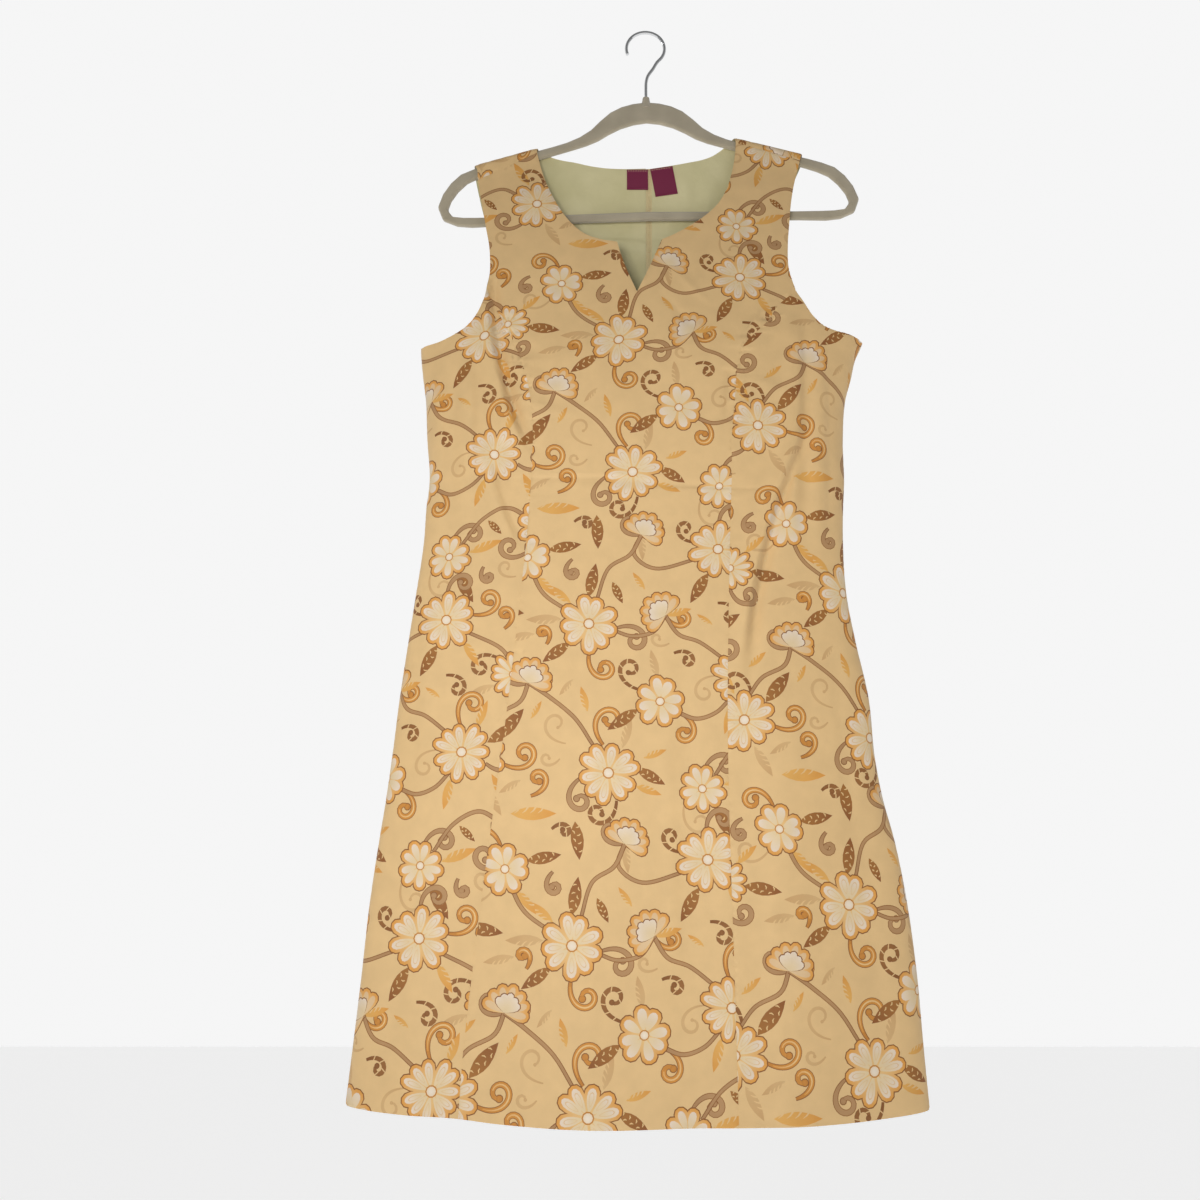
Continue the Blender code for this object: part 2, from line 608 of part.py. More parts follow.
def shell_of(piece, rows):
    """Faces round a grid of (outer, inner) vertex pairs."""
    down, across = len(rows) - 1, len(rows[0]) - 1
    for k in (0, 1):
        for i in range(down):
            for j in range(across):
                piece.faces.new([rows[i][j][k], rows[i + 1][j][k], rows[i + 1][j + 1][k], rows[i][j + 1][k]])
    rim = [(0, j) for j in range(across)] + [(i, across) for i in range(down)]
    rim += [(down, j) for j in range(across, 0, -1)] + [(i, 0) for i in range(down, 0, -1)]
    for (i, j), (m, n) in zip(rim, rim[1:] + rim[:1]):
        piece.faces.new([rows[i][j][0], rows[m][n][0], rows[m][n][1], rows[i][j][1]])


# --- Zip -----------------------------------------------------------------------------------------------


def down_centre_back(runs):
    """Points and outward normals on the facets of the shell at the centre back."""
    rows = centre_back_rows()
    points, _, _, normals = cloth_frame(BACK, rows)
    return [
        np.stack([np.interp(runs, rows[:, 1], column) for column in table.T], axis=-1)
        for table in (points, normals)
    ]


def make_zip(tape, metal):
    rows = centre_back_rows()[:, 1]
    runs = np.concatenate([[ZIP_TOP], rows[(rows > ZIP_TOP) & (rows < ZIP_FOOT)], [ZIP_FOOT]])
    points, normals = down_centre_back(runs)
    chain = bmesh.new()
    half = np.array([CHAIN_WIDE / 2, 0, 0])
    grid = [
        [
            [chain.verts.new(point + off - normal * (WALL + GAP + depth)) for depth in (0, LINING_WALL)]
            for off in (-half, half)
        ]
        for point, normal in zip(points, normals)
    ]
    shell_of(chain, grid)
    finish("zip_chain", chain, tape)

    reach = SLIDER_LONG / 2
    points, normals = down_centre_back(SLIDER_DROP + np.array([-reach, reach]))
    down = Vector(points[1] - points[0]).normalized()
    across = down.cross(Vector(normals.mean(axis=0))).normalized()
    out = across.cross(down)
    # The slider's own frame: x across, y out of the cloth, z up the chain, seated GAP off the cloth.
    frame = Matrix((across, out, -down)).transposed().to_4x4()
    frame.translation = Vector(points.mean(axis=0)) + out * GAP
    make_slider(frame, metal)
    make_pull(frame, metal)


def bar(low, high, frame):
    """A box between two corners, in the slider's frame."""
    made = bmesh.new()
    bmesh.ops.create_cube(made, size=1.0)
    size, middle = [h - w for w, h in zip(low, high)], [(h + w) / 2 for w, h in zip(low, high)]
    made.transform(frame @ Matrix.Translation(middle) @ Matrix.Diagonal((*size, 1)))
    return made


def prism(points, low, high, frame, flat):
    """An outline pushed through from low to high. flat maps (a, b, depth) to the slider's x, y and z."""
    made = bmesh.new()
    rings = [[made.verts.new(frame @ Vector(flat(a, b, depth))) for a, b in points] for depth in (low, high)]
    made.faces.new(rings[0])
    made.faces.new(reversed(rings[1]))
    for i in range(len(points)):
        j = (i + 1) % len(points)
        made.faces.new([rings[0][j], rings[0][i], rings[1][i], rings[1][j]])
    return made


def arc(centre, radius, start, stop, steps):
    """Points round part of a circle, in degrees."""
    turns = [math.radians(start + (stop - start) * i / steps) for i in range(steps + 1)]
    return [(centre[0] + radius * math.cos(a), centre[1] + radius * math.sin(a)) for a in turns]


def boolean(piece, other, operation):
    other.hide_render = True
    other.display_type = "WIRE"
    step = piece.modifiers.new(operation.lower(), "BOOLEAN")
    step.operation = operation
    step.object = other


def make_slider(frame, metal):
    """A plate with tapered shoulders, and a bridge over it that holds the pull's pin."""
    half, long = SLIDER_WIDE / 2, SLIDER_LONG / 2
    plate = [(-half, long * 0.35), (-half * 0.62, long), (half * 0.62, long), (half, long * 0.35)]
    plate += [(half * 0.72, -long), (-half * 0.72, -long)]
    slider = finish("zip_slider", prism(plate, 0, SLIDER_THICK, frame, lambda a, b, d: (a, d, b)), metal)
    foot, top = SLIDER_THICK - BRIDGE_SUNK, SLIDER_THICK + BRIDGE_REACH
    inner, outer = BRIDGE_HALF, BRIDGE_HALF + BRIDGE_BAR
    cut, bend = BRIDGE_BAR, BRIDGE_BAR / 2
    loop = [(-outer, foot), (-outer, top + BRIDGE_BAR - cut), (-outer + cut, top + BRIDGE_BAR)]
    loop += [(outer - cut, top + BRIDGE_BAR), (outer, top + BRIDGE_BAR - cut), (outer, foot)]
    loop += [(inner, foot), (inner, top - bend), (inner - bend, top)]
    loop += [(-inner + bend, top), (-inner, top - bend), (-inner, foot)]
    wide = BRIDGE_WIDE / 2
    bridge = finish("bridge", prism(loop, -wide, wide, frame, lambda a, b, d: (d, b, a)), metal)
    boolean(slider, bridge, "UNION")


def make_pull(frame, metal):
    """A flat tab that narrows to an eye; the eye's top bar is the pin that turns under the bridge."""
    pin = SLIDER_THICK + PIN_OUT
    reach, foot = PULL_EYE_WIDE / 2 + PULL_BAR, PULL_WIDE / 2
    right = [(foot, -PULL_LONG * 0.62), (reach * 0.95, -PULL_WINDOW - PULL_NECK)]
    right += [(reach, -PULL_WINDOW), (reach, PIN_RADIUS)]
    left = [(-a, b) for a, b in reversed(right)]
    tab = arc((0, -PULL_LONG + foot), foot, 180, 360, 10) + right + left
    low, high = pin - PIN_RADIUS, pin + PIN_RADIUS
    pull = finish("zip_pull", prism(tab, low, high, frame, lambda a, b, d: (a, d, b)), metal)
    half = PULL_EYE_WIDE / 2
    window = bar((-half, low - 1, -PULL_WINDOW), (half, high + 1, -PIN_RADIUS), frame)
    boolean(pull, finish("eye", window, metal), "DIFFERENCE")
    edge_round = pull.modifiers.new("rounded", "BEVEL")
    edge_round.width = PULL_ROUND * MM
    edge_round.segments = 1
    edge_round.limit_method = "ANGLE"


# --- Hanger --------------------------------------------------------------------------------------------


def tilt(x, drop):
    """The hanger hangs a little down on the left, turned about the foot of its hook. Its ends lean less."""
    below = drop - PIVOT_DROP
    return (
        x * math.cos(HANGER_TILT) + below * math.sin(HANGER_LEAN),
        -PIVOT_DROP + x * math.sin(HANGER_TILT) - below * math.cos(HANGER_TILT),
    )


def make_hanger(flock, metal):
    half = through(HANGER_HALF, np.linspace(0, 1, HANGER_STEPS + 1))
    left = half[1:-1][::-1] * np.array([-1, 1, -1, 1])
    stations = np.concatenate([half, left])
    ring = bmesh.new()
    loops = []
    for column in (0, 2):
        places = [tilt(*row[column : column + 2]) for row in stations]
        loops.append([ring.verts.new((x, 0, z)) for x, z in places])
    for i in range(len(stations)):
        j = (i + 1) % len(stations)
        ring.faces.new([loops[0][i], loops[0][j], loops[1][j], loops[1][i]])
    hanger = finish("hanger", ring, flock)
    thick = hanger.modifiers.new("thickness", "SOLIDIFY")
    thick.thickness = HANGER_THICK * MM
    thick.offset = 0
    rounded = hanger.modifiers.new("rounded", "BEVEL")
    rounded.width = HANGER_EDGE * MM
    rounded.segments = 2
    rounded.limit_method = "ANGLE"

    boss = bmesh.new()
    radius = BOSS_WIDE / 2
    foot, top = radius + BOSS_FLARE, radius - BOSS_TAPER
    bmesh.ops.create_cone(boss, cap_ends=True, segments=20, radius1=foot, radius2=top, depth=BOSS_HIGH)
    bmesh.ops.scale(boss, vec=(1, BOSS_DEEP / BOSS_WIDE, 1), verts=boss.verts)
    bmesh.ops.translate(boss, vec=(0, 0, -BOSS_TOP - BOSS_HIGH / 2), verts=boss.verts)
    boolean(hanger, finish("boss", boss, flock), "UNION")

    radius = HOOK_INNER_RADIUS + WIRE / 2
    bend = arc((0, -HOOK_INNER_RADIUS), radius, *HOOK_TURN, 30)
    path = through(bend + list(SHANK) + [(0, -BOSS_TOP + GAP)], np.linspace(0, 1, HOOK_STEPS))
    wire = bpy.data.curves.new("hanger_hook", "CURVE")
    wire.dimensions = "3D"
    wire.bevel_depth = WIRE / 2 * MM
    wire.bevel_resolution = 3
    wire.use_fill_caps = True
    spline = wire.splines.new("POLY")
    spline.points.add(len(path) - 1)
    for point, (x, z) in zip(spline.points, path):
        point.co = (x * MM, 0, z * MM, 1)
    wire.materials.append(metal)
    bpy.context.scene.collection.objects.link(bpy.data.objects.new("hanger_hook", wire))


def main():
    for old in list(bpy.data.objects):
        bpy.data.objects.remove(old)
    printed = material("printed_cotton", (0.80, 0.60, 0.31), 0.8)
    lining = material("lining_taffeta", (0.60, 0.55, 0.27), 0.5)
    woven = material("woven_label", (0.07, 0.004, 0.02), 0.6)
    tape = material("nylon_zip", (0.72, 0.62, 0.36), 0.5)
    enamel = material("enamelled_zinc", (0.76, 0.62, 0.36), 0.3, 0.2)
    flock = material("flocked_plastic", (0.35, 0.29, 0.22), 0.9)
    chrome = material("chromed_wire", (0.75, 0.75, 0.75), 0.15, 1.0)
    make_shell(printed, lining)
    make_labels(woven)
    make_zip(tape, enamel)
    make_hanger(flock, chrome)


main()
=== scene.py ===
# %% [markdown]
# # A printed shift dress on its hanger
#
# A shift dress is cut from a few flat panels, sewn together, lined, and closed with a zip at the back.
# Here each panel is built in the same order: its flat cut first, the print laid on the flat cloth, and
# then the cloth hung in space with its folds. The solids of the dress and its hanger come first, because
# everything else has to lie where they are.

# %% Load the solids
import math
from collections import namedtuple

import bmesh
import bpy
import numpy as np
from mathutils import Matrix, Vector, kdtree
from mathutils.geometry import delaunay_2d_cdt


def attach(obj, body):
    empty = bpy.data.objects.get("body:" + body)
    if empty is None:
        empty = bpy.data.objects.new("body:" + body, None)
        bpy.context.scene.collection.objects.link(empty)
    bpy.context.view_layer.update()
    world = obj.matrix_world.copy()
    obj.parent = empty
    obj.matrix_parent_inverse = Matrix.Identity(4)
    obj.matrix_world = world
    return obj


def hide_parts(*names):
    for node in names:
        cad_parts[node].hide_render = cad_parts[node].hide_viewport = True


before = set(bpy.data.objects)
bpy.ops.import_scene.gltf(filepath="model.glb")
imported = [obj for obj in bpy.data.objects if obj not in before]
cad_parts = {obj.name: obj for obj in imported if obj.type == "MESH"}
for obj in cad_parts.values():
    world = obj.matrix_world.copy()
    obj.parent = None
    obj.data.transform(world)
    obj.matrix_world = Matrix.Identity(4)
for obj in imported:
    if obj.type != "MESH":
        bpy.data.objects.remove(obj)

for name in ("Cube", "Light", "Camera"):  # of Blender's own start-up file
    if name in bpy.data.objects:
        bpy.data.objects.remove(bpy.data.objects[name])
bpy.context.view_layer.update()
scene = bpy.context.scene
MM = 0.001
print("solids:", ", ".join(sorted(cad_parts)))

# %% [markdown]
# ## A plain studio
#
# The dress hangs in front of a pale, almost white sweep, as in a shop's product picture. The camera stands
# at the height of the skirt and looks up a little, so the hem looks wider than the shoulders. One soft
# light stands to the left of it, so the shoulders fall off into a warmer shade. The world is a white wall
# behind the dress and a dimmer room in front, which leaves the folds their shading.

# %% Camera and helpers for materials
SENSOR, LENS = 36.0, 35.61  # mm
LOOKS_UP = 14  # degrees above the level

camera = bpy.data.objects.new("camera", bpy.data.cameras.new("camera"))
scene.collection.objects.link(camera)
camera.location = (-0.050, -1.1207, -0.9234)
camera.rotation_euler = (math.radians(90 + LOOKS_UP), 0, 0)
camera.data.lens, camera.data.sensor_width = LENS, SENSOR
scene.camera = camera
scene.view_settings.view_transform = "Standard"


def linear(code):
    """An sRGB colour such as "E8CD96" as linear red, green and blue."""
    parts = [int(code[i : i + 2], 16) / 255 for i in (0, 2, 4)]
    return tuple(c / 12.92 if c <= 0.04045 else ((c + 0.055) / 1.055) ** 2.4 for c in parts)


def add(tree, kind, settings=None, **links):
    """A node with its settings, and its inputs linked or set. Names use _ for a space."""
    node = tree.nodes.new(kind)
    for name, value in (settings or {}).items():
        setattr(node, name, value)
    for name, value in links.items():
        socket = node.inputs[int(name[1:])] if name[1:].isdigit() else node.inputs[name.replace("_", " ")]
        if isinstance(value, bpy.types.NodeSocket):
            tree.links.new(value, socket)
        else:
            socket.default_value = value
    return node


def new_material(name, **inputs):
    """A material and its shader, with the inputs that are the same all over set on the shader."""
    if name in bpy.data.materials:  # the plain one of the solids
        bpy.data.materials[name].name = name + "_solid"
    made = bpy.data.materials.new(name)
    made.use_nodes = True
    shader = made.node_tree.nodes["Principled BSDF"]
    for key, value in inputs.items():
        shader.inputs[key.replace("_", " ")].default_value = value
    return made, made.node_tree, shader


print("camera at", tuple(camera.location), "looks up", LOOKS_UP, "degrees")

# %% Wall, key light and floor
world = bpy.data.worlds.new("studio")
world.use_nodes = True
scene.world = world
direction = add(world.node_tree, "ShaderNodeTexCoord")
axes = add(world.node_tree, "ShaderNodeSeparateXYZ", Vector=direction.outputs["Generated"])
wall = add(world.node_tree, "ShaderNodeMapRange", {"interpolation_type": "SMOOTHSTEP"},
           Value=axes.outputs["Y"], From_Min=-0.35, From_Max=0.5, To_Min=0.2, To_Max=0.92)
world.node_tree.links.new(wall.outputs["Result"], world.node_tree.nodes["Background"].inputs["Strength"])
world.node_tree.nodes["Background"].inputs["Color"].default_value = (1, 1, 1, 1)


KEY_PLACE, KEY_AIM = Vector((-0.32, -1.16, -0.72)), Vector((0, 0, -0.80))
lamp = bpy.data.lights.new("key", "AREA")
lamp.shape, lamp.size, lamp.energy, lamp.spread = "SQUARE", 0.4, 3.1, math.radians(110)
light = bpy.data.objects.new("key", lamp)
light.location = KEY_PLACE
light.rotation_euler = (KEY_AIM - KEY_PLACE).to_track_quat("-Z", "Y").to_euler()
scene.collection.objects.link(light)

sweep, tree, shader = new_material("painted_sweep", Base_Color=(0.9, 0.9, 0.9, 1), Roughness=0.9,
                                   Emission_Color=(1, 1, 1, 1), Emission_Strength=0.36)
bpy.ops.mesh.primitive_plane_add(size=12, location=(0, 0, -1.75))  # metres
floor = bpy.context.object
floor.name = "floor"
floor.data.materials.append(sweep)
print("key light of", lamp.energy, "W, floor", -floor.location.z, "m below the hook")

# %% [markdown]
# ## The hanging form
#
# Hung up, the dress is a flat tube: a front sheet and a back sheet that meet at the side seams and pass
# over the hanger's arms. A table of sections gives its outline and how far each sheet stands off in the
# middle. The sizes are those of the solids, so the cloth lies on them. A place on the dress is its share
# of the way across, -1 to 1, and its drop below the hook, both of which any edge of a panel can follow.

# %% Sections of the form
FRONT, BACK = -1, 1
RIDGE_RADIUS = 6.15  # the cloth turns over the hanger's arm on this radius
LENS_POWER = 0.72  # below 1 the side seams stand rounder than an ellipse
SHOULDER_SETTLE, LEAVES_HANGER, SIDES_CLOSED = 60.0, 200.0, 370.0
SECTIONS = np.array([  # drop, left, right, front depth, back depth
    (100, -236, 222, 6, 6), (160, -236, 222, 7, 7), (200, -236, 222, 11, 10), (250, -236, 222, 17, 14),
    (300, -236, 222, 24, 18), (340, -235.5, 221, 29, 21), (376, -234, 218.5, 33, 23),
    (392, -232.6, 211, 34, 24), (413, -230, 205.5, 35, 25), (435, -226.7, 199, 36, 26),
    (478, -223.6, 194, 36, 26), (528, -219.8, 192.8, 33, 25), (548, -221.8, 191, 32, 24),
    (583, -223, 189, 31, 24), (644, -229.5, 190, 32, 25), (684, -234.2, 195.6, 33, 26),
    (742, -240.6, 205.6, 34, 27), (799, -245.6, 208.4, 35, 28), (836, -249.4, 213.6, 35, 28),
    (873, -254, 222, 35, 28), (927, -260, 230, 35, 28), (997, -265, 235.5, 36, 29),
    (1048, -269, 237, 37, 30), (1100, -273.3, 239, 38, 31), (1140, -276, 241, 38, 31),
], float)  # fmt: skip
RIDGE_LINE = np.array([  # x, drop
    (-240, 183.4), (-186, 166.3), (-116, 144.1), (92, 131.2), (120, 138.9), (168, 152.3), (240, 172),
])  # fmt: skip


def smooth_table(knots, values, wanted):
    """Values at the wanted places on the cubic curves through the rows of a table."""
    slopes = np.gradient(values, knots, axis=0)
    row = np.clip(np.searchsorted(knots, wanted) - 1, 0, len(knots) - 2)
    step = (knots[row + 1] - knots[row])[..., None]
    t = (wanted - knots[row])[..., None] / step
    return (
        values[row] * (1 + 2 * t) * (1 - t) ** 2
        + values[row + 1] * t**2 * (3 - 2 * t)
        + slopes[row] * step * t * (1 - t) ** 2
        - slopes[row + 1] * step * t**2 * (1 - t)
    )


def ease(t):
    """0 to 1 with flat ends."""
    t = np.clip(t, 0, 1)
    return t * t * (3 - 2 * t)


def outline(drop):
    """left, right, front and back of the form at each drop."""
    clipped = np.clip(drop, SECTIONS[0, 0], SECTIONS[-1, 0])
    return np.moveaxis(smooth_table(SECTIONS[:, 0], SECTIONS[:, 1:], clipped), -1, 0)


def ridge_base(x):
    """The drop at which a sheet starts to turn over the hanger's arm."""
    return np.interp(x, RIDGE_LINE[:, 0], RIDGE_LINE[:, 1]) + RIDGE_RADIUS


def share_at(x, drop):
    left, right, _, _ = outline(drop)
    return np.arcsin(np.clip((2 * x - left - right) / (right - left), -1, 1)) * 2 / math.pi


print("form:", len(SECTIONS), "sections, hem", SECTIONS[-2, 2] - SECTIONS[-2, 1], "mm wide")

# %% [markdown]
# ## Folds and creases
#
# Cotton that has been folded and hung keeps soft ridges and troughs: long ones that fall from the bust and
# the armholes, puckers along the princess seams, where the cloth is eased in, and faint waves all over.
# Each one here is a soft line with a width and a lift in millimetres, placed one by one. A pair of a ridge
# and a trough beside it reads as one sharp fold.

# %% A table of folds
Fold = namedtuple("Fold", "side top_x top_drop foot_x foot_drop bow width lift fade")
FOLDS = [Fold(*row) for row in (
    (FRONT, -171, 285, -124, 520, -13, 10, 3.4, 70), (FRONT, -158, 290, -111, 512, -14, 9, -3.2, 70),
    (FRONT, -158, 470, -122, 640, 6, 9, -2.2, 70), (FRONT, -212, 385, -207, 590, 3, 11, 2.6, 70),
    (FRONT, -199, 385, -195, 600, 0, 8, -2.2, 70), (FRONT, -184, 380, -180, 560, 2, 9, 2.4, 70),
    (FRONT, 146, 335, 128, 600, 4, 11, 3.0, 70), (FRONT, 157, 335, 147, 600, 2, 8, -2.4, 70),
    (FRONT, 172, 345, 159, 620, 2, 11, 2.6, 70), (FRONT, 165, 455, 88, 745, -13, 7, -3.2, 70),
    (FRONT, 153, 455, 76, 745, -13, 9, 3.0, 70), (FRONT, -72, 350, -76, 455, 0, 42, 4.0, 70),
    (FRONT, 38, 350, 36, 455, 0, 42, 4.0, 70), (FRONT, -18, 330, -18, 470, 0, 26, -2.0, 70),
    (FRONT, -196, 760, -222, 1190, 5, 26, 3.2, 70), (FRONT, -112, 820, -128, 1190, 4, 24, -2.6, 70),
    (FRONT, -46, 700, -52, 1190, -4, 34, 2.4, 70), (FRONT, 26, 820, 30, 1190, 3, 24, -2.4, 70),
    (FRONT, 118, 700, 132, 1190, -5, 26, 3.2, 70), (FRONT, 186, 820, 196, 1190, 3, 20, -2.4, 70),
    (BACK, -160, 330, -150, 640, 4, 16, 3.0, 70), (BACK, -96, 300, -104, 600, -5, 20, -2.2, 70),
    (BACK, 92, 300, 84, 620, 4, 18, 2.8, 70), (BACK, 150, 340, 140, 640, -4, 15, -2.2, 70),
    (BACK, -60, 560, -78, 1190, 6, 30, 3.4, 70), (BACK, -176, 700, -200, 1190, -4, 26, -2.6, 70),
    (BACK, 62, 600, 76, 1190, -5, 28, 3.2, 70), (BACK, 150, 720, 172, 1190, 4, 24, -2.6, 70),
)]  # fmt: skip


def lift_of(side, x, drop, folds):
    """How far the cloth stands proud of the plain form at each place."""
    lift = np.zeros_like(x)
    for fold in (fold for fold in folds if fold.side == side):
        t = (drop - fold.top_drop) / (fold.foot_drop - fold.top_drop)
        line = fold.top_x + (fold.foot_x - fold.top_x) * t + 4 * fold.bow * t * (1 - t)
        along = ease((drop - fold.top_drop) / fold.fade) * ease((fold.foot_drop - drop) / fold.fade)
        lift += fold.lift * along * np.exp(-(((x - line) / fold.width) ** 2))
    return lift


def sheet_point(side, share, drop, folds):
    """The outer face of the front or back sheet, below the ridge."""
    left, right, front, back = outline(drop)
    angle = share * math.pi / 2
    x = (left + right) / 2 + (right - left) / 2 * np.sin(angle)
    lens = np.sign(np.cos(angle)) * np.abs(np.cos(angle)) ** LENS_POWER
    flat = RIDGE_RADIUS * (1 - ease((drop - LEAVES_HANGER) / (SIDES_CLOSED - LEAVES_HANGER)))
    settled = ease((drop - ridge_base(x)) / SHOULDER_SETTLE)
    depth = flat + ((front if side == FRONT else back) - flat) * lens * settled
    depth = depth + lift_of(side, x, drop, folds) * ease(2 * lens) * settled
    return np.stack([x, side * depth, -drop], axis=-1)


def cloth_point(side, places, folds=FOLDS):
    """The outer face at (share, run). run is the drop measured along the cloth, so on the back it goes on
    over the hanger's arm and down the front."""
    share, run = np.moveaxis(np.asarray(places), -1, 0)
    left, right, _, _ = outline(SECTIONS[0, 0])
    ridge_x = (left + right) / 2 + (right - left) / 2 * np.sin(share * math.pi / 2)
    base = ridge_base(ridge_x)
    turn = (base - run) / RIDGE_RADIUS
    near = sheet_point(side, share, np.maximum(run, base), folds)
    far = sheet_point(-side, share, np.maximum(2 * base - run - math.pi * RIDGE_RADIUS, base), folds)
    over = np.stack(
        [ridge_x, side * RIDGE_RADIUS * np.cos(turn), RIDGE_RADIUS * np.sin(turn) - base], axis=-1
    )
    return np.where((turn <= 0)[..., None], near, np.where((turn < math.pi)[..., None], over, far))


def normals_at(side, places, folds=FOLDS):
    """Outward normals at (share, run)."""
    across, along = np.array([1e-3, 0.0]), np.array([0.0, 0.3])
    by_share = cloth_point(side, places + across, folds) - cloth_point(side, places - across, folds)
    by_run = cloth_point(side, places + along, folds) - cloth_point(side, places - along, folds)
    normal = side * np.cross(by_share, by_run)
    return normal / np.linalg.norm(normal, axis=-1, keepdims=True)


print("folds:", len(FOLDS))

# %% [markdown]
# ## The flat cut
#
# Cloth is printed and cut flat, so the print has to be laid out on the flat panel. Flat places are
# measured in millimetres: across from the centre line along the curved sheet, and down along the run.
# A map of widths, made once for each sheet, turns a flat place into a share and back.

# %% Flat places and back
SHARES, RUNS = np.linspace(-1, 1, 241), np.arange(96, 1146, 6.0)


def map_of_widths(side):
    points = cloth_point(side, np.stack(np.meshgrid(SHARES, RUNS), axis=-1), [])
    widths = np.cumsum(np.linalg.norm(np.diff(points, axis=1), axis=2), axis=1)
    widths = np.concatenate([np.zeros((len(RUNS), 1)), widths], axis=1)
    return widths - widths[:, len(SHARES) // 2, None]


WIDTHS = {side: map_of_widths(side) for side in (FRONT, BACK)}


def rows_of_widths(side, run):
    place = (run - RUNS[0]) / (RUNS[1] - RUNS[0])
    row = np.clip(place.astype(int), 0, len(RUNS) - 2)
    part = (place - row)[:, None]
    return WIDTHS[side][row] * (1 - part) + WIDTHS[side][row + 1] * part


def to_flat(side, places):
    """(share, run) to (across, run) in flat millimetres."""
    rows = rows_of_widths(side, places[:, 1])
    place = np.clip((places[:, 0] + 1) / (SHARES[1] - SHARES[0]), 0, len(SHARES) - 1.001)
    column = place.astype(int)
    part = place - column
    pick = np.arange(len(places))
    return np.stack(
        [rows[pick, column] * (1 - part) + rows[pick, column + 1] * part, places[:, 1]], axis=-1
    )


def from_flat(side, flat):
    """(across, run) in flat millimetres to (share, run)."""
    shares = np.empty(len(flat))
    for start in range(0, len(flat), 4000):
        chunk = flat[start : start + 4000]
        rows = rows_of_widths(side, chunk[:, 1])
        column = np.clip((rows < chunk[:, :1]).sum(axis=1) - 1, 0, len(SHARES) - 2)
        pick = np.arange(len(chunk))
        low, high = rows[pick, column], rows[pick, column + 1]
        part = (chunk[:, 0] - low) / (high - low)
        shares[start : start + 4000] = SHARES[column] + part * (SHARES[1] - SHARES[0])
    return np.stack([np.clip(shares, -1, 1), flat[:, 1]], axis=-1)


BUST_ROW = 50  # at a run of 396 mm
bust = sum(float(np.ptp(WIDTHS[side][BUST_ROW])) for side in (FRONT, BACK))
print("flat width at the bust:", round(bust), "mm round")

# %% [markdown]
# ## Seams and edges
#
# The front has a centre panel between two princess seams, which shape the bust, and a side panel on each
# side. The back is two panels that meet at the zip. Each seam is a smooth line through a few places,
# given as x and drop in millimetres, and neighbouring panels share it.

# %% Seam lines
HEM_LINE = np.array([
    (-277, 1100.5), (-250, 1103.4), (-221, 1105.2), (-171, 1108), (-133, 1112.5), (-50, 1116), (26, 1115),
    (120, 1113.8), (190, 1110), (241, 1104.5),
])  # fmt: skip
BACK_CENTRE = ((2.5, 165.4), (0, 500), (-8, 860), (-14, 1118))
Side = namedtuple(
    "Side",
    "share neck notch armhole underarm underarm_drop princess neck_over back_neck arm_over back_armhole",
)
LEFT = Side(
    share=-1,
    neck=((-117.3, 152.5), (-112.8, 171), (-106.1, 193), (-97.3, 214), (-88.2, 230.5), (-77.1, 245.5),
          (-65.5, 256), (-50, 262.5), (-32.4, 266)),
    notch=((-32.4, 266), (-25.4, 292), (-12.4, 327.5)),
    armhole=((-179.8, 186), (-178, 197), (-173.9, 219), (-168.8, 248), (-165, 269), (-163.3, 290),
             (-163.3, 308), (-165.3, 322)),
    underarm=((-165.3, 322), (-168.8, 336), (-176.8, 353.5), (-187.7, 365.5), (-200.8, 373.5), (-213, 378.5),
              (-234, 381)),
    underarm_drop=381.0,
    princess=((-165.3, 322), (-157.5, 340), (-147.7, 361), (-135, 388.5), (-124.4, 419), (-118.5, 449),
              (-116.2, 480.5), (-117.2, 531), (-120.9, 589), (-126.5, 656), (-132.3, 716.5), (-139.6, 786.5),
              (-147.9, 857), (-156.7, 935.5), (-163.1, 997), (-168.6, 1058.5), (-171, 1107)),
    neck_over=(-117.2, -117.1, -117, -116.8, -115.3, -111.5, -106),
    back_neck=((-106, 149.6), (-102.7, 151.9), (-93, 155.3), (-77, 158.5), (-60.7, 162.5), (-44.6, 165),
               (-28.5, 165.9), (2.5, 165.4)),
    arm_over=(-181.5, -183, -184, -184.5, -184.5, -184.3, -184),
    back_armhole=((-184, 172.5), (-178, 203), (-170.5, 234), (-166, 258), (-164, 280), (-164, 298),
                  (-166.5, 316), (-173, 337), (-184, 356), (-199, 369), (-215, 378), (-234, 381)),
)  # fmt: skip
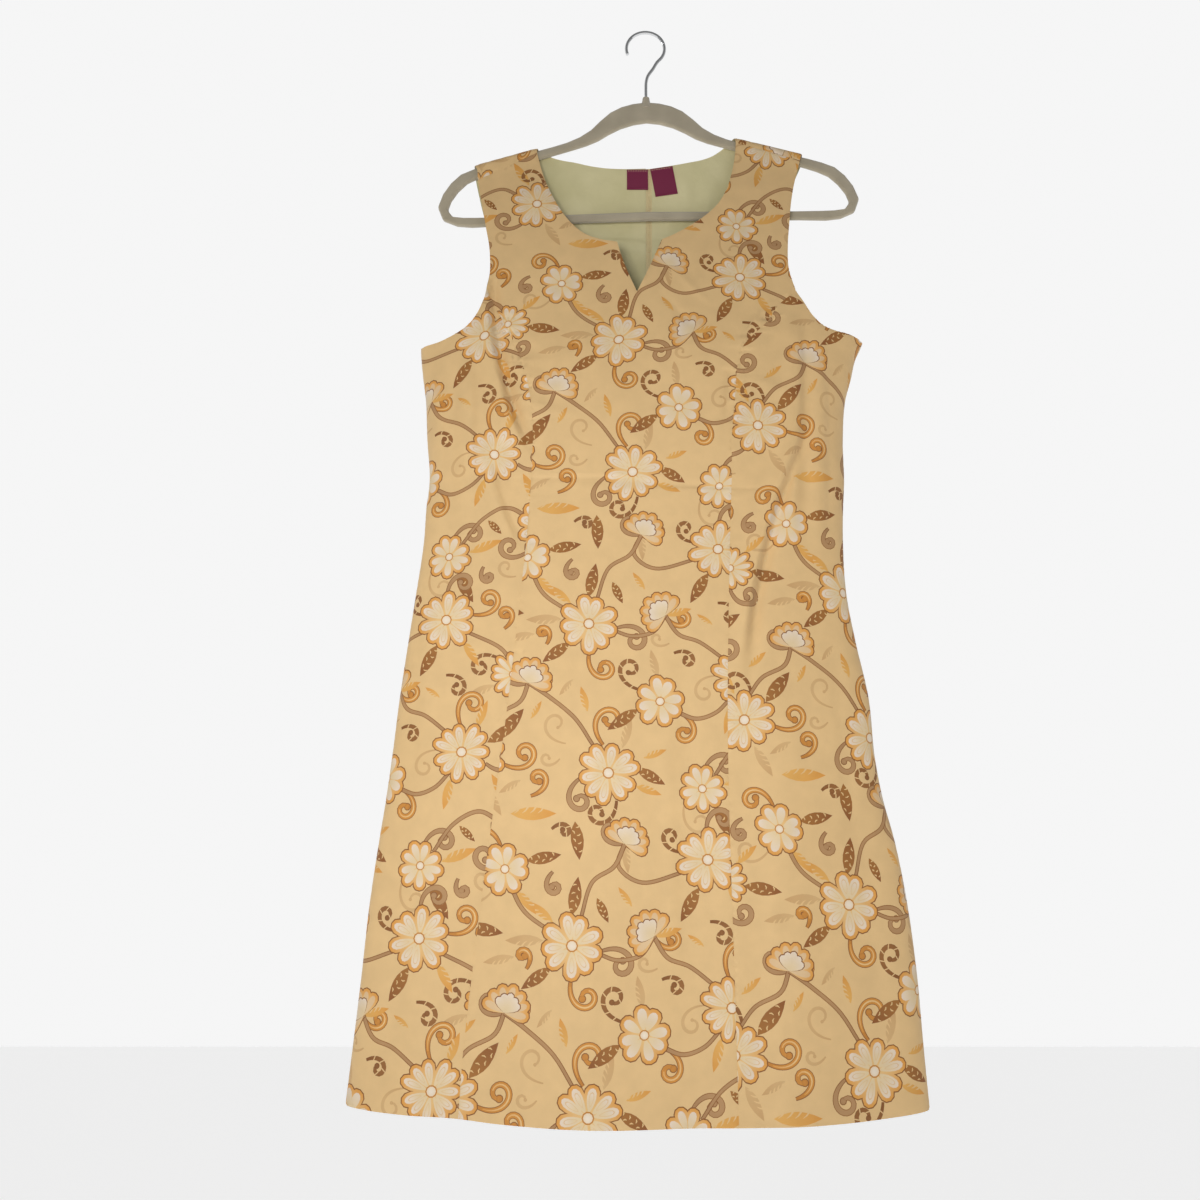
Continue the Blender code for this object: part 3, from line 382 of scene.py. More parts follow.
RIGHT = Side(
    share=1,
    neck=((95.5, 140.5), (94.1, 156), (89.6, 179), (82.9, 201), (73.9, 217.5), (62.4, 230.5),
          (46.9, 243.2), (27.8, 256), (14.2, 263)),
    notch=((14.2, 263), (1.3, 296), (-12.4, 327.5)),
    armhole=((163.4, 162), (161, 171), (156.7, 187), (151.4, 213), (147.9, 240.5), (144.8, 269),
             (144.2, 297), (150.2, 324)),
    underarm=((150.2, 324), (156.7, 334.5), (167, 352.5), (176.8, 362.5), (189, 367), (204, 369.5),
              (219, 374.5)),
    underarm_drop=374.5,
    princess=((150.2, 324), (130.6, 342), (120.3, 359), (108.6, 372), (95.5, 386.5), (86.9, 411),
              (83.7, 441), (79.7, 480.5), (78, 531.5), (76.3, 564), (73, 632), (69.7, 705), (67.4, 786),
              (67, 870), (67.7, 978), (67.9, 1068), (68, 1115)),
    neck_over=(95.3, 95, 94.5, 93.6, 92, 89.5, 86.5),
    back_neck=((86.5, 137.7), (84.5, 140), (79.3, 144.7), (70.5, 150.8), (60.7, 154.8), (46.7, 158),
               (30.6, 161.2), (14.5, 164), (2.5, 165.4)),
    arm_over=(164.4, 165.5, 166.4, 167, 167, 166.8, 166.5),
    back_armhole=((166.5, 158), (158.5, 180), (153, 206), (149.5, 232), (147, 258), (146.5, 283),
                  (149.5, 303), (156.5, 322), (166.5, 342), (178, 357), (191, 366.5), (204, 372),
                  (219, 374.5)),
)  # fmt: skip


print("seams: princess", len(LEFT.princess), "and", len(RIGHT.princess), "places, hem", len(HEM_LINE))

# %% Outlines of the panels
def line(points, step=2.0):
    """(share, run) places about step apart on a smooth line through (x, drop)."""
    points = np.array(points, float)
    knots = np.concatenate([[0.0], np.cumsum(np.linalg.norm(np.diff(points, axis=0), axis=1))])
    x, run = smooth_table(knots, points, np.linspace(0, knots[-1], max(3, round(knots[-1] / step)))).T
    return np.stack([share_at(x, run), run], axis=-1)


def hem_run(share):
    left, right, _, _ = outline(HEM_LINE[:, 1].mean())
    x = (left + right) / 2 + (right - left) / 2 * np.sin(np.asarray(share) * math.pi / 2)
    return smooth_table(HEM_LINE[:, 0], HEM_LINE[:, 1:], x)[..., 0]


def to_hem(points):
    places = line(points)
    places = places[places[:, 1] < hem_run(places[:, 0]) - 1]
    last = places[-1, 0]
    return np.concatenate([places, [[last, hem_run(last)]]])


def hem(start, stop, step=2.0):
    shares = np.linspace(start, stop, round(abs(stop - start) * 370 / step))
    return np.stack([shares, hem_run(shares)], axis=-1)


def over_ridge(x, drop):
    """The run of a place on the front, measured along the back sheet and over the arm."""
    return 2 * ridge_base(x) - math.pi * RIDGE_RADIUS - drop


def from_shoulder(seam_end, over, points):
    """A back edge from the end of a shoulder seam, over the arm and down the back."""
    turned = np.linspace(math.pi, 0, len(over)) * RIDGE_RADIUS
    x = np.array((seam_end[0],) + over)
    run = np.concatenate([[over_ridge(*seam_end)], ridge_base(x[1:]) - turned])
    foot = (over[-1], float(ridge_base(over[-1])))
    return line(list(zip(x, run))[:-1] + [foot] + list(points[1:]))


def side_seam(side):
    run = np.arange(side.underarm_drop, hem_run(side.share), 2.0)
    run = np.concatenate([run[run < hem_run(side.share) - 1], [hem_run(side.share)]])
    return np.stack([np.full_like(run, side.share), run], axis=-1)


def shoulder_seam(side, sheet):
    x, drop = np.linspace(side.armhole[0], side.neck[0], 40).T
    run = drop if sheet == FRONT else over_ridge(x, drop)
    return np.stack([share_at(x, run), run], axis=-1)


def joined(*stretches):
    """One closed loop from stretches that each start where the last one ended."""
    return np.concatenate([stretch[:-1] for stretch in stretches])


def centre_panel():
    left, right = to_hem(LEFT.princess), to_hem(RIGHT.princess)
    return joined(
        line(LEFT.armhole), left, hem(left[-1, 0], right[-1, 0]), right[::-1], line(RIGHT.armhole)[::-1],
        shoulder_seam(RIGHT, FRONT), line(RIGHT.neck), line(RIGHT.notch), line(LEFT.notch)[::-1],
        line(LEFT.neck)[::-1], shoulder_seam(LEFT, FRONT)[::-1],
    )  # fmt: skip


def side_panel(side):
    princess, seam = to_hem(side.princess), side_seam(side)
    return joined(princess, hem(princess[-1, 0], side.share), seam[::-1], line(side.underarm)[::-1])


def back_panel(side):
    neck = from_shoulder(side.neck[0], side.neck_over, side.back_neck)
    armhole = from_shoulder(side.armhole[0], side.arm_over, side.back_armhole)
    centre, seam = to_hem(BACK_CENTRE), side_seam(side)
    return joined(
        neck, centre, hem(centre[-1, 0], side.share), seam[::-1], armhole[::-1], shoulder_seam(side, BACK)
    )


PANELS = (
    ("front_centre", FRONT, centre_panel()),
    ("front_side_left", FRONT, side_panel(LEFT)),
    ("front_side_right", FRONT, side_panel(RIGHT)),
    ("back_left", BACK, back_panel(LEFT)),
    ("back_right", BACK, back_panel(RIGHT)),
)
print("panels:", {name: len(loop) for name, _, loop in PANELS})

# %% [markdown]
# ## Finer creases
#
# The long folds shape the solids as well. On the cloth itself lie narrower ones: the sharp edges of those
# folds, short drags from the notch and the armholes, the crease of a once folded skirt, and puckers across
# the seams, where two layers were eased together. The back, which hangs free, has the same kinds.

# %% Creases and puckers
CREASES = [Fold(*row) for row in (
    (FRONT, -157, 290, -116, 505, -13, 4.2, -3.0, 40), (FRONT, -165, 290, -124, 500, -13, 4.0, 2.4, 40),
    (FRONT, -154, 500, -122, 598, -5, 5, -1.6, 25), (FRONT, -161, 500, -129, 598, -5, 5, 1.1, 25),
    (FRONT, 160, 470, 90, 710, -11, 4.2, -2.6, 50), (FRONT, 152, 470, 82, 710, -11, 4.4, 2.0, 50),
    (FRONT, -206, 386, -203, 552, 2, 4, -0.9, 40), (FRONT, -174, 384, -170, 548, 2, 4, -1.0, 40),
    (FRONT, 150, 350, 137, 560, 3, 4, 0.9, 50), (FRONT, 179, 360, 171, 600, 2, 4, -0.9, 50),
    (FRONT, 120, 344, 88, 398, -4, 3.5, 1.3, 16), (FRONT, 82, 400, 73, 480, 0, 4.5, -1.7, 25),
    (FRONT, -110, 526, 90, 542, 0, 60, -0.8, 4), (FRONT, -48, 292, -82, 350, 0, 6, 0.9, 20),
    (FRONT, -30, 318, -66, 372, 0, 6, -0.8, 20), (FRONT, 22, 294, 62, 346, 0, 6, 0.9, 20),
    (FRONT, 6, 322, 48, 376, 0, 6, -0.8, 20), (FRONT, -112, 196, -128, 300, 0, 8, 0.9, 30),
    (FRONT, 96, 190, 112, 300, 0, 8, -0.9, 30), (FRONT, -150, 400, -92, 446, 4, 12, 0.9, 12),
    (FRONT, -158, 372, -104, 408, 4, 14, -0.9, 10), (FRONT, -138, 440, -84, 470, 3, 14, 0.7, 9),
    (FRONT, 98, 420, 150, 452, 3, 14, 0.7, 9), (FRONT, -92, 560, -98, 820, 5, 9, 1.0, 70),
    (FRONT, 30, 600, 34, 860, -5, 10, -0.9, 70), (FRONT, -212, 640, -226, 900, 4, 8, 1.1, 70),
    (FRONT, 172, 640, 186, 900, -4, 8, -1.0, 70), (FRONT, -60, 900, -66, 1140, 3, 9, 0.9, 60),
    (FRONT, 104, 900, 112, 1150, -3, 9, 0.9, 60), (FRONT, 8, 760, 14, 1010, 3, 8, 0.8, 60),
    (BACK, -150, 300, -112, 480, -10, 4, -1.6, 50), (BACK, -157, 300, -119, 480, -10, 4, 1.3, 50),
    (BACK, 140, 310, 108, 500, -8, 4, -1.6, 50), (BACK, 147, 310, 115, 500, -8, 4, 1.2, 50),
    (BACK, -60, 230, -96, 300, 0, 7, 0.9, 25), (BACK, 50, 228, 88, 300, 0, 7, -0.9, 25),
    (BACK, -190, 430, -198, 640, 3, 6, 1.1, 60), (BACK, 160, 430, 166, 640, -3, 6, 1.0, 60),
    (BACK, -130, 524, 110, 541, 0, 60, -0.8, 4), (BACK, -110, 620, -124, 900, 5, 8, -1.0, 70),
    (BACK, 96, 640, 112, 920, -5, 8, 1.0, 70), (BACK, -34, 700, -44, 1000, 4, 9, 0.9, 70),
    (BACK, -204, 800, -226, 1140, 4, 9, 1.0, 70), (BACK, 186, 820, 204, 1140, -4, 9, -0.9, 70),
)]  # fmt: skip


def puckers(side, seam, drops, lift):
    """Short drags that cross a seam, up and down in turn and never quite alike."""
    seam = np.array(seam)
    made = []
    for k, drop in enumerate(drops):
        x = np.interp(drop, seam[:, 1], seam[:, 0])
        slope, high = (-1) ** k * (3 + k % 3), lift * (0.7 + 0.3 * math.sin(2.4 * k))
        low = drop - 3.2 - (k % 2)
        made.append(Fold(side, x - 13, low, x + 13, low + 6 + slope * 0.3, 0, 9, (-1) ** k * high, 2.4))
    return made


LEFT_BUST = (348, 357, 365, 374, 384, 393, 404, 413, 424, 436, 451, 470, 494)
RIGHT_BUST = (352, 361, 371, 381, 392, 404, 416, 431, 449, 472, 500)
SKIRT = (548, 596, 655, 702, 768, 842, 905, 981, 1044)
ZIP = (196, 214, 236, 262, 291, 322, 366, 412, 470, 540, 610, 702)
PUCKERS = []
for side, seam, drops, lift in (
    (FRONT, LEFT.princess, LEFT_BUST, 0.75), (FRONT, RIGHT.princess, RIGHT_BUST, 0.65),
    (FRONT, LEFT.princess, SKIRT, 0.35), (FRONT, RIGHT.princess, SKIRT, 0.35), (BACK, BACK_CENTRE, ZIP, 0.5),
):  # fmt: skip
    PUCKERS += puckers(side, seam, drops, lift)
CLOTH_FOLDS = FOLDS + CREASES + PUCKERS
LINING_FOLDS = FOLDS + CREASES + [Fold(*row) for row in (
    (BACK, -88, 166, -64, 262, 4, 7, -1.4, 22), (BACK, -52, 176, -74, 300, -5, 9, -1.6, 30),
    (BACK, -28, 200, -46, 330, 3, 8, -1.5, 30), (BACK, 22, 204, 44, 318, -4, 8, -1.4, 30),
    (BACK, 44, 170, 30, 262, 4, 7, -1.3, 24), (BACK, 70, 158, 62, 280, -3, 9, -1.5, 30),
    (BACK, -118, 200, -112, 360, 5, 10, -1.2, 40), (BACK, 96, 190, 104, 360, -4, 10, -1.3, 40),
    (BACK, -70, 214, 40, 226, 0, 46, -0.8, 3.5), (BACK, -40, 246, 60, 262, 0, 40, -0.9, 4),
    (FRONT, -70, 330, -80, 480, 4, 10, -1.0, 40), (FRONT, 40, 330, 46, 480, -4, 10, -1.0, 40),
)]  # fmt: skip
print("creases:", len(CREASES), "puckers:", len(PUCKERS), "lining folds:", len(LINING_FOLDS))

# %% [markdown]
# ## The print
#
# The cotton is screen-printed in a few inks on a pale yellow ground: daisies with white petals and gold
# rims, half flowers on branches, pointed leaves, and scrolls. Each motif is a few closed outlines laid over
# each other like the passes of a print, with every ink a little stronger towards the end of its shape. One
# repeat is 300 by 291 mm, and every next one down is set 19 mm to the left. The flowers and branches are
# placed one by one. Sprigs then fill the open places: a rule tries places that are spread evenly over the
# repeat, and draws the next small leaf or scroll wherever nothing is near.

# %% Inks and strokes
Ink = namedtuple("Ink", "inner outer")  # its colour at the middle of a shape and at its far end
Shape = namedtuple("Shape", "points centre reach ink")
CLOTH = Ink("DDB982", "DDB982")
LINE = Ink("946230", "804E20")
GHOST = Ink("CFA974", "C79D68")
RIM_GOLD = Ink("E2BC80", "D8953E")
PETAL_WHITE = Ink("DFC69A", "E2D0BC")
LOOP = Ink("DDBE92", "DAB78A")
HEART = Ink("EADBC8", "E4CEAC")
SCROLL_GOLD = Ink("CC8A38", "BA7A30")
SCROLL_TAN = Ink("B38A5C", "A87E52")
LEAF_BROWN = Ink("9E682C", "885022")
LEAF_GOLD = Ink("DBA656", "D4923E")
LACE = Ink("DDBA80", "DDBA80")


def spread(long, angle):
    return long * np.array([math.cos(math.radians(angle)), math.sin(math.radians(angle))])


def placed(points, start, angle):
    """Points drawn along +X from the origin, turned and moved."""
    c, s = spread(1, angle)
    return np.asarray(points) @ np.array([[c, s], [-s, c]]) + start


def disc(centre, radius, ink, corners=10):
    turn = np.linspace(0, 2 * math.pi, corners, endpoint=False)
    return Shape(np.stack([np.cos(turn), np.sin(turn)], axis=1) * radius + centre, centre, radius, ink)


def stroke(path, widths, ink):
    """One brush stroke: a band along a path, as wide at each place as given."""
    along = np.gradient(path, axis=0)
    side = np.stack([-along[:, 1], along[:, 0]], axis=1) / np.linalg.norm(along, axis=1)[:, None]
    side *= (np.asarray(widths) / 2)[:, None]
    middle = path[len(path) // 2]
    reach = np.linalg.norm(path - middle, axis=1).max()
    return Shape(np.concatenate([path + side, (path - side)[::-1]]), middle, reach, ink)


def petal(start, angle, long, wide, ink, waist=0.25, corners=14):
    """A petal that is widest near its tip. A waist of 1 makes it an ellipse."""
    turn = np.linspace(0, 2 * math.pi, corners, endpoint=False)
    out = (1 - np.cos(turn)) / 2
    half = np.sin(turn) * (waist + (1 - waist) * out)
    points = np.stack([long * out, wide / 2 * half / half.max()], axis=1)
    return Shape(placed(points, start, angle), np.asarray(start, float), long, ink)


def leaf_blade(start, angle, long, wide, ink):
    t = np.linspace(0, 1, 7)
    edge = wide / 2 * np.sin(math.pi * t) ** 0.85
    edge = np.stack([long * t, edge * (1.15 - 0.3 * t)], axis=1)
    points = np.concatenate([edge, (edge * (1, -1))[-2:0:-1]])
    return Shape(placed(points, start, angle), np.asarray(start, float), long, ink)


# %% Motifs
def daisy(x, y, reach, petals, turn):
    """Round petals in three coats: a thin brown edge, gold that is strong at the tips, and white."""
    centre = np.array([x, y], float)
    pitch = 1.5 * math.pi * reach / petals  # from petal to petal, where they are widest
    edge, gold, white = [], [], []
    for k in range(petals):
        angle = turn + (k + 0.12 * math.sin(2.3 * k + turn)) * 360 / petals
        long = reach * (0.95 + 0.05 * math.sin(1.9 * k + x))
        edge.append(petal(centre, angle, long + 0.9, 0.93 * pitch + 1.7, LINE))
        gold.append(petal(centre, angle, long, 0.93 * pitch, RIM_GOLD))
        start = centre + spread(0.16 * reach, angle)
        inner = long - 0.16 * reach - 2.8
        white.append(petal(start, angle, inner, 0.66 * pitch - 1.2, PETAL_WHITE, 0.45))
        if reach > 26:
            start = start + spread(0.2 * inner, angle)
            white.append(petal(start, angle, 0.64 * inner, 0.32 * pitch, LOOP, 0.5, 10))
            start = start + spread(0.06 * inner, angle)
            white.append(petal(start, angle, 0.53 * inner, 0.32 * pitch - 1.1, PETAL_WHITE, 0.5, 10))
    heart = [disc(centre, 0.18 * reach, SCROLL_GOLD), disc(centre, 0.14 * reach, HEART)]
    return edge + gold + white + heart


def fan(x, y, reach, angle):
    """Half a flower on a stalk: gold scallops round a white fan of five lobes."""
    foot = np.array([x, y], float)
    shapes = []
    for grown, ink in ((0.9, LINE), (0, RIM_GOLD), (-2.6, LOOP)):
        for k in range(-3, 4):
            long, wide = reach * (1 - 0.04 * abs(k)) + grown, 0.42 * reach + 1.8 * grown
            shapes.append(petal(foot, angle + 27 * k, long, wide, ink, 0.2))
    for grown, ink in ((0.9, LINE), (0, PETAL_WHITE)):
        for k in range(-2, 3):
            long = reach * (0.68 - 0.05 * abs(k)) + grown
            shapes.append(petal(foot, angle + 23 * k, long, 0.27 * reach + 1.5 * grown, ink, 0.2, 12))
    return shapes


def leaf(start, angle, long, kind):
    """A pointed leaf. Brown ones carry a net of pale dashes, the others are feathered on one side."""
    wide = long * (0.34 if kind == "net" else 0.28)
    ink = {"net": LEAF_BROWN, "gold": LEAF_GOLD, "ghost": GHOST}[kind]
    shapes = [leaf_blade(start, angle, long, wide, ink)]
    if kind == "net":
        for k in range(7):
            along, off = (0.16 + 0.105 * k) * long, (-1) ** k * wide * 0.17
            slant = angle + (50 if k % 2 else -50)
            at = placed([(along, off)], start, angle)[0]
            path = np.stack([at - spread(0.055 * long, slant), at, at + spread(0.055 * long, slant - 40)])
            shapes.append(stroke(path, [0.7, 1.2, 0.5], LACE))
    else:
        for k in range(4):
            at = placed([((0.22 + 0.17 * k) * long, wide * 0.5)], start, angle)[0]
            middle, tip = spread(-0.34 * wide, angle + 52), spread(-0.66 * wide, angle + 44)
            shapes.append(stroke(np.stack([at, at + middle, at + tip]), [1.7, 1.2, 0.3], CLOTH))
    return shapes


def scroll(start, angle, long, curl, kind):
    """A stroke that winds into a spiral and ends in a round knob. curl is the whole turn in degrees."""
    wide = {"gold": 4.6, "tan": 4.2, "dashed": 3.0, "ghost": 3.0}[kind]
    u = np.linspace(0, 1, max(10, round(long / 2.6)))
    heading = np.radians(angle + curl * (0.22 * u + 0.78 * u**2.3))
    steps = np.stack([np.cos(heading), np.sin(heading)], axis=1) * long * (u[1] - u[0])
    path = np.concatenate([[start], start + np.cumsum((steps[:-1] + steps[1:]) / 2, axis=0)])
    widths = wide * (0.28 + 0.72 * np.sin(math.pi * (0.06 + 0.80 * u)))
    if kind == "ghost":
        return [stroke(path, widths, GHOST), disc(path[-1], 0.5 * wide, GHOST)]
    inner = {"gold": SCROLL_GOLD, "tan": SCROLL_TAN, "dashed": LEAF_BROWN}[kind]
    shapes = [stroke(path, widths + 1.3, LINE), disc(path[-1], 0.62 * wide + 0.7, LINE)]
    if kind != "dashed":
        shapes += [stroke(path, widths, inner), disc(path[-1], 0.62 * wide, inner)]
        shine = path[3:-4]
        if kind == "gold" and len(shine) > 4:
            shapes.append(stroke(shine, widths[3:-4] * 0.3, RIM_GOLD))
        return shapes
    for k in range(3, len(path) - 1, 3):
        cross = math.degrees(heading[k]) + 68
        end = spread(0.5 * widths[k] + 0.9, cross)
        shapes.append(stroke(np.stack([path[k] - end, path[k], path[k] + end]), [0.8, 1.0, 0.8], CLOTH))
    return shapes


def stem(path, wide=3.0):
    """A tan branch with brown edges along a smooth curve through a few places."""
    path = np.array(path, float)
    knots = np.arange(len(path), dtype=float)
    curve = smooth_table(knots, path, np.linspace(0, knots[-1], 9 * (len(path) - 1)))
    widths = wide * np.linspace(1, 0.7, len(curve))
    return [stroke(curve, widths + 1.4, LINE), stroke(curve, widths, SCROLL_TAN)]


# %% One repeat of the print
REPEAT, DRIFT = (300.0, 291.0), -19.0
DAISIES = (  # x, y, reach, petals, turn
    (45, 38, 30, 10, 8), (130, 24, 23, 9, 30), (222, 52, 30, 10, 20), (92, 104, 25, 8, 12),
    (168, 126, 29, 11, 0), (28, 178, 30, 9, 25), (214, 198, 23, 12, 10), (150, 252, 30, 10, 14),
    (268, 244, 24, 8, 30),
)  # fmt: skip
FANS = ((270, 122, 25, 70), (100, 186, 25, 140), (76, 266, 24, 60))  # x, y, reach, angle
STEMS = (
    ((270, 122), (262, 104), (240, 92), (226, 74)), ((270, 122), (290, 108), (314, 88), (332, 62)),
    ((100, 186), (112, 168), (132, 160), (156, 142)), ((100, 186), (88, 170), (68, 166), (50, 172)),
    ((76, 266), (70, 246), (92, 232), (130, 242)), ((76, 266), (66, 246), (46, 232), (36, 202)),
    ((108, 94), (126, 88), (144, 94), (158, 108)), ((204, 62), (184, 72), (160, 60), (142, 36)),
    ((214, 198), (204, 222), (170, 240)), ((268, 244), (282, 212), (300, 196), (318, 188)),
)  # fmt: skip
GROWTH = (  # flower, where round it, heading, kind, length, turn of a scroll
    (0, 100, 130, "gold", 74, -400), (0, 10, -30, "net", 30, 0), (0, 190, 215, "tan", 62, 390),
    (0, 60, 75, "ghost leaf", 30, 0), (0, 285, 265, "dashed", 62, -380), (0, 335, 340, "gold leaf", 26, 0),
    (1, 80, 60, "tan", 60, -420), (1, 10, 20, "gold leaf", 34, 0), (1, 300, 300, "net", 34, 0),
    (1, 215, 250, "ghost", 66, 380),
    (2, 40, 50, "net", 38, 0), (2, 350, 330, "gold", 70, 400), (2, 110, 120, "gold leaf", 34, 0),
    (2, 240, 225, "tan", 64, -390), (2, 290, 300, "ghost leaf", 32, 0), (2, 75, 95, "dashed", 52, 330),
    (3, 150, 165, "dashed", 64, -380), (3, 200, 215, "net", 34, 0), (3, 95, 100, "ghost leaf", 28, 0),
    (3, 330, 335, "gold", 58, -390),
    (4, 95, 115, "gold", 70, -400), (4, 20, 30, "net", 36, 0), (4, 335, 320, "tan", 62, 400),
    (4, 250, 255, "gold leaf", 30, 0), (4, 60, 70, "gold leaf", 28, 0), (4, 175, 185, "ghost", 54, 360),
    (5, 350, 20, "tan", 66, -400), (5, 90, 80, "net", 34, 0), (5, 270, 255, "gold", 66, 400),
    (5, 170, 180, "ghost leaf", 34, 0), (5, 225, 215, "net", 32, 0), (5, 130, 140, "gold leaf", 28, 0),
    (6, 270, 285, "tan", 60, 400), (6, 130, 150, "dashed", 58, 380), (6, 350, 350, "net", 34, 0),
    (6, 210, 200, "ghost leaf", 28, 0), (6, 50, 40, "gold leaf", 26, 0),
    (7, 10, 350, "gold", 66, 400), (7, 250, 240, "net", 34, 0), (7, 90, 85, "tan", 56, -380),
    (7, 310, 300, "gold leaf", 30, 0), (7, 165, 170, "dashed", 44, -340),
    (8, 100, 110, "gold", 58, 380), (8, 20, 10, "net", 32, 0), (8, 240, 235, "ghost", 60, -380),
    (8, 300, 310, "gold leaf", 28, 0),
    (9, 250, 200, "tan", 52, -420), (9, 250, 320, "gold", 46, 400), (9, 250, 20, "ghost leaf", 24, 0),
    (10, 330, 300, "gold", 50, 400), (10, 330, 215, "dashed", 44, -380), (10, 330, 15, "gold leaf", 26, 0),
    (11, 240, 190, "tan", 50, -400), (11, 240, 320, "gold", 44, 380), (11, 240, 275, "ghost leaf", 26, 0),
)  # fmt: skip


ACROSS, DOWN = 0.754878, 0.569840  # steps that scatter places evenly over a square
CLEAR_ROUNDS = (24, 19, 15.5, 13, 11)  # mm, from place to the nearest mark
SPRIGS = (  # kind, length as a share of the clear round, turn of a scroll
    ("gold leaf", 1.75, 0), ("ghost", 3.1, -330), ("net leaf", 1.8, 0), ("gold", 3.3, 380),
    ("ghost leaf", 1.8, 0), ("dashed", 3.1, -360), ("gold leaf", 1.6, 0), ("tan", 3.2, 400),
)  # fmt: skip


def sprigs(shapes):
    """Small leaves and scrolls for the open places of a repeat, the widest place first."""
    copies = [np.array([i * REPEAT[0] - j * DRIFT, j * REPEAT[1]]) for i in (-1, 0, 1) for j in (-1, 0, 1)]
    marks = np.concatenate([shape.points + copy for shape in shapes for copy in copies])
    made = []
    for clear in CLEAR_ROUNDS:
        for k in range(260):
            place = np.array([REPEAT[0] * (ACROSS * k % 1), REPEAT[1] * (DOWN * k % 1)])
            if np.linalg.norm(marks - place, axis=1).min() < clear:
                continue
            kind, long, turn = SPRIGS[len(made) % len(SPRIGS)]
            heading = 137.5 * len(made)
            start = place - spread(0.5 * (long if not turn else 1.1) * clear, heading)
            if turn:
                new = scroll(start, heading - 0.1 * turn, long * clear, turn, kind)
            else:
                new = leaf(start, heading, long * clear, kind.split()[0])
            made.append(new)
            marks = np.concatenate([marks] + [shape.points + copy for shape in new for copy in copies])
    return [shape for new in made for shape in new]


def one_repeat():
    """The shapes of one repeat, in the order they are printed."""
    ghosts, growth = [], []
    for flower, at, heading, kind, long, turn in GROWTH:
        if flower < len(DAISIES):
            x, y, reach = DAISIES[flower][:3]
            start = np.array([x, y]) + spread(0.86 * reach, at)
        else:
            start = np.array(FANS[flower - len(DAISIES)][:2], float)
        if turn:
            shapes = scroll(start, heading, long, turn, kind)
        else:
            shapes = leaf(start, heading, long, kind.split()[0])
        (ghosts if "ghost" in kind else growth).extend(shapes)
    growth += [shape for row in STEMS for shape in stem(row)]
    flowers = [shape for row in FANS for shape in fan(*row)]
    flowers += [shape for row in DAISIES for shape in daisy(*row)]
    return sprigs(ghosts + growth + flowers) + ghosts + growth + flowers


ONE_REPEAT = one_repeat()
print("one repeat:", len(ONE_REPEAT), "shapes, a daisy is", 2 * DAISIES[0][2], "mm wide")

# %% [markdown]
# ## Cutting and hanging a panel
#
# The panel's edge and the outlines of the print that fall on it are joined into one flat net of triangles,
# so each ink ends in a clean line, as a print does. The net is then hung: every flat place goes to its
# share and run, and so into space. The cloth is a thin shell. Near a seam or an edge its face rolls in by
# just under a millimetre, which is what makes a seam read as a fine groove.

# %% Flat nets
NET_STEP, INNER_STEP = 4.0, 4.2  # mm from place to place


def inside(edge, places):
    """Which places lie inside the closed edge."""
    found = np.zeros(len(places), bool)
    for (ax, ay), (bx, by) in zip(edge, np.roll(edge, -1, axis=0)):
        if ay != by:
            crosses = (ay > places[:, 1]) != (by > places[:, 1])
            found ^= crosses & (places[:, 0] < ax + (bx - ax) * (places[:, 1] - ay) / (by - ay))
    return found


def square(low, size, step):
    """The outline of a square, with a place at every step."""
    t = np.arange(0, size - step / 2, step)
    flat = np.zeros_like(t)
    sides = [(t, flat), (flat + size, t), (size - t, flat + size), (flat, size - t)]
    return np.concatenate([np.stack(side, axis=1) for side in sides]) + low


def anticlockwise(points):
    x, y = points.T
    return points if np.dot(x, np.roll(y, -1)) > np.dot(y, np.roll(x, -1)) else points[::-1]


def net_of_square(low, size, step, edge, shapes):
    """Triangles inside one square and the edge, and the number of the shape on top of each, from 1."""
    high = low + size
    near = [
        k for k, points in enumerate(shapes)
        if (points.max(axis=0) > low).all() and (points.min(axis=0) < high).all()
    ]  # fmt: skip
    outlines = [square(low, size, step)] + [anticlockwise(shapes[k]) for k in near]
    points, faces = [], []
    for outline in outlines:
        faces.append(list(range(len(points), len(points) + len(outline))))
        points += outline.tolist()
    after = np.roll(edge, -1, axis=0)
    touching = (np.maximum(edge, after) > low).all(axis=1) & (np.minimum(edge, after) < high).all(axis=1)
    seams = []
    for a, b in zip(edge[touching].tolist(), after[touching].tolist()):
        seams.append((len(points), len(points) + 1))
        points += [a, b]
    rows = np.arange(low[1] + 0.6 * step, high[1] - 0.4 * step, step)
    for i, y in enumerate(rows):
        shift = 0.5 * step + 0.25 * step * (-1) ** i
        points += [(x, y) for x in np.arange(low[0] + shift, high[0] - 0.2 * step, step)]
    made = delaunay_2d_cdt([Vector(p) for p in points], seams, faces, 0, 1e-5, True)
    places = np.array([tuple(p) for p in made[0]])
    kept = [(corners, source) for corners, source in zip(made[2], made[5]) if 0 in source]
    triangles, top = np.array([row[0] for row in kept]), np.array([max(row[1]) for row in kept])
    middles = places[triangles].mean(axis=1)
    lowest = np.array([outline.min(axis=0) for outline in outlines])
    highest = np.array([outline.max(axis=0) for outline in outlines])
    if ((middles < lowest[top]) | (middles > highest[top])).any():  # an outline leaks, and its ink floods
        for k in range(len(outlines) - 1, 0, -1):
            for i in np.flatnonzero((top == k) & ~inside(outlines[k], middles)):
                top[i] = max(j for j in kept[i][1] if j < k)
    if touching.any() or not inside(edge, low[None] + size / 2)[0]:
        within = inside(edge, middles)
        triangles, top = triangles[within], top[within]
    return places, triangles, np.array([-1] + near)[top] + 1


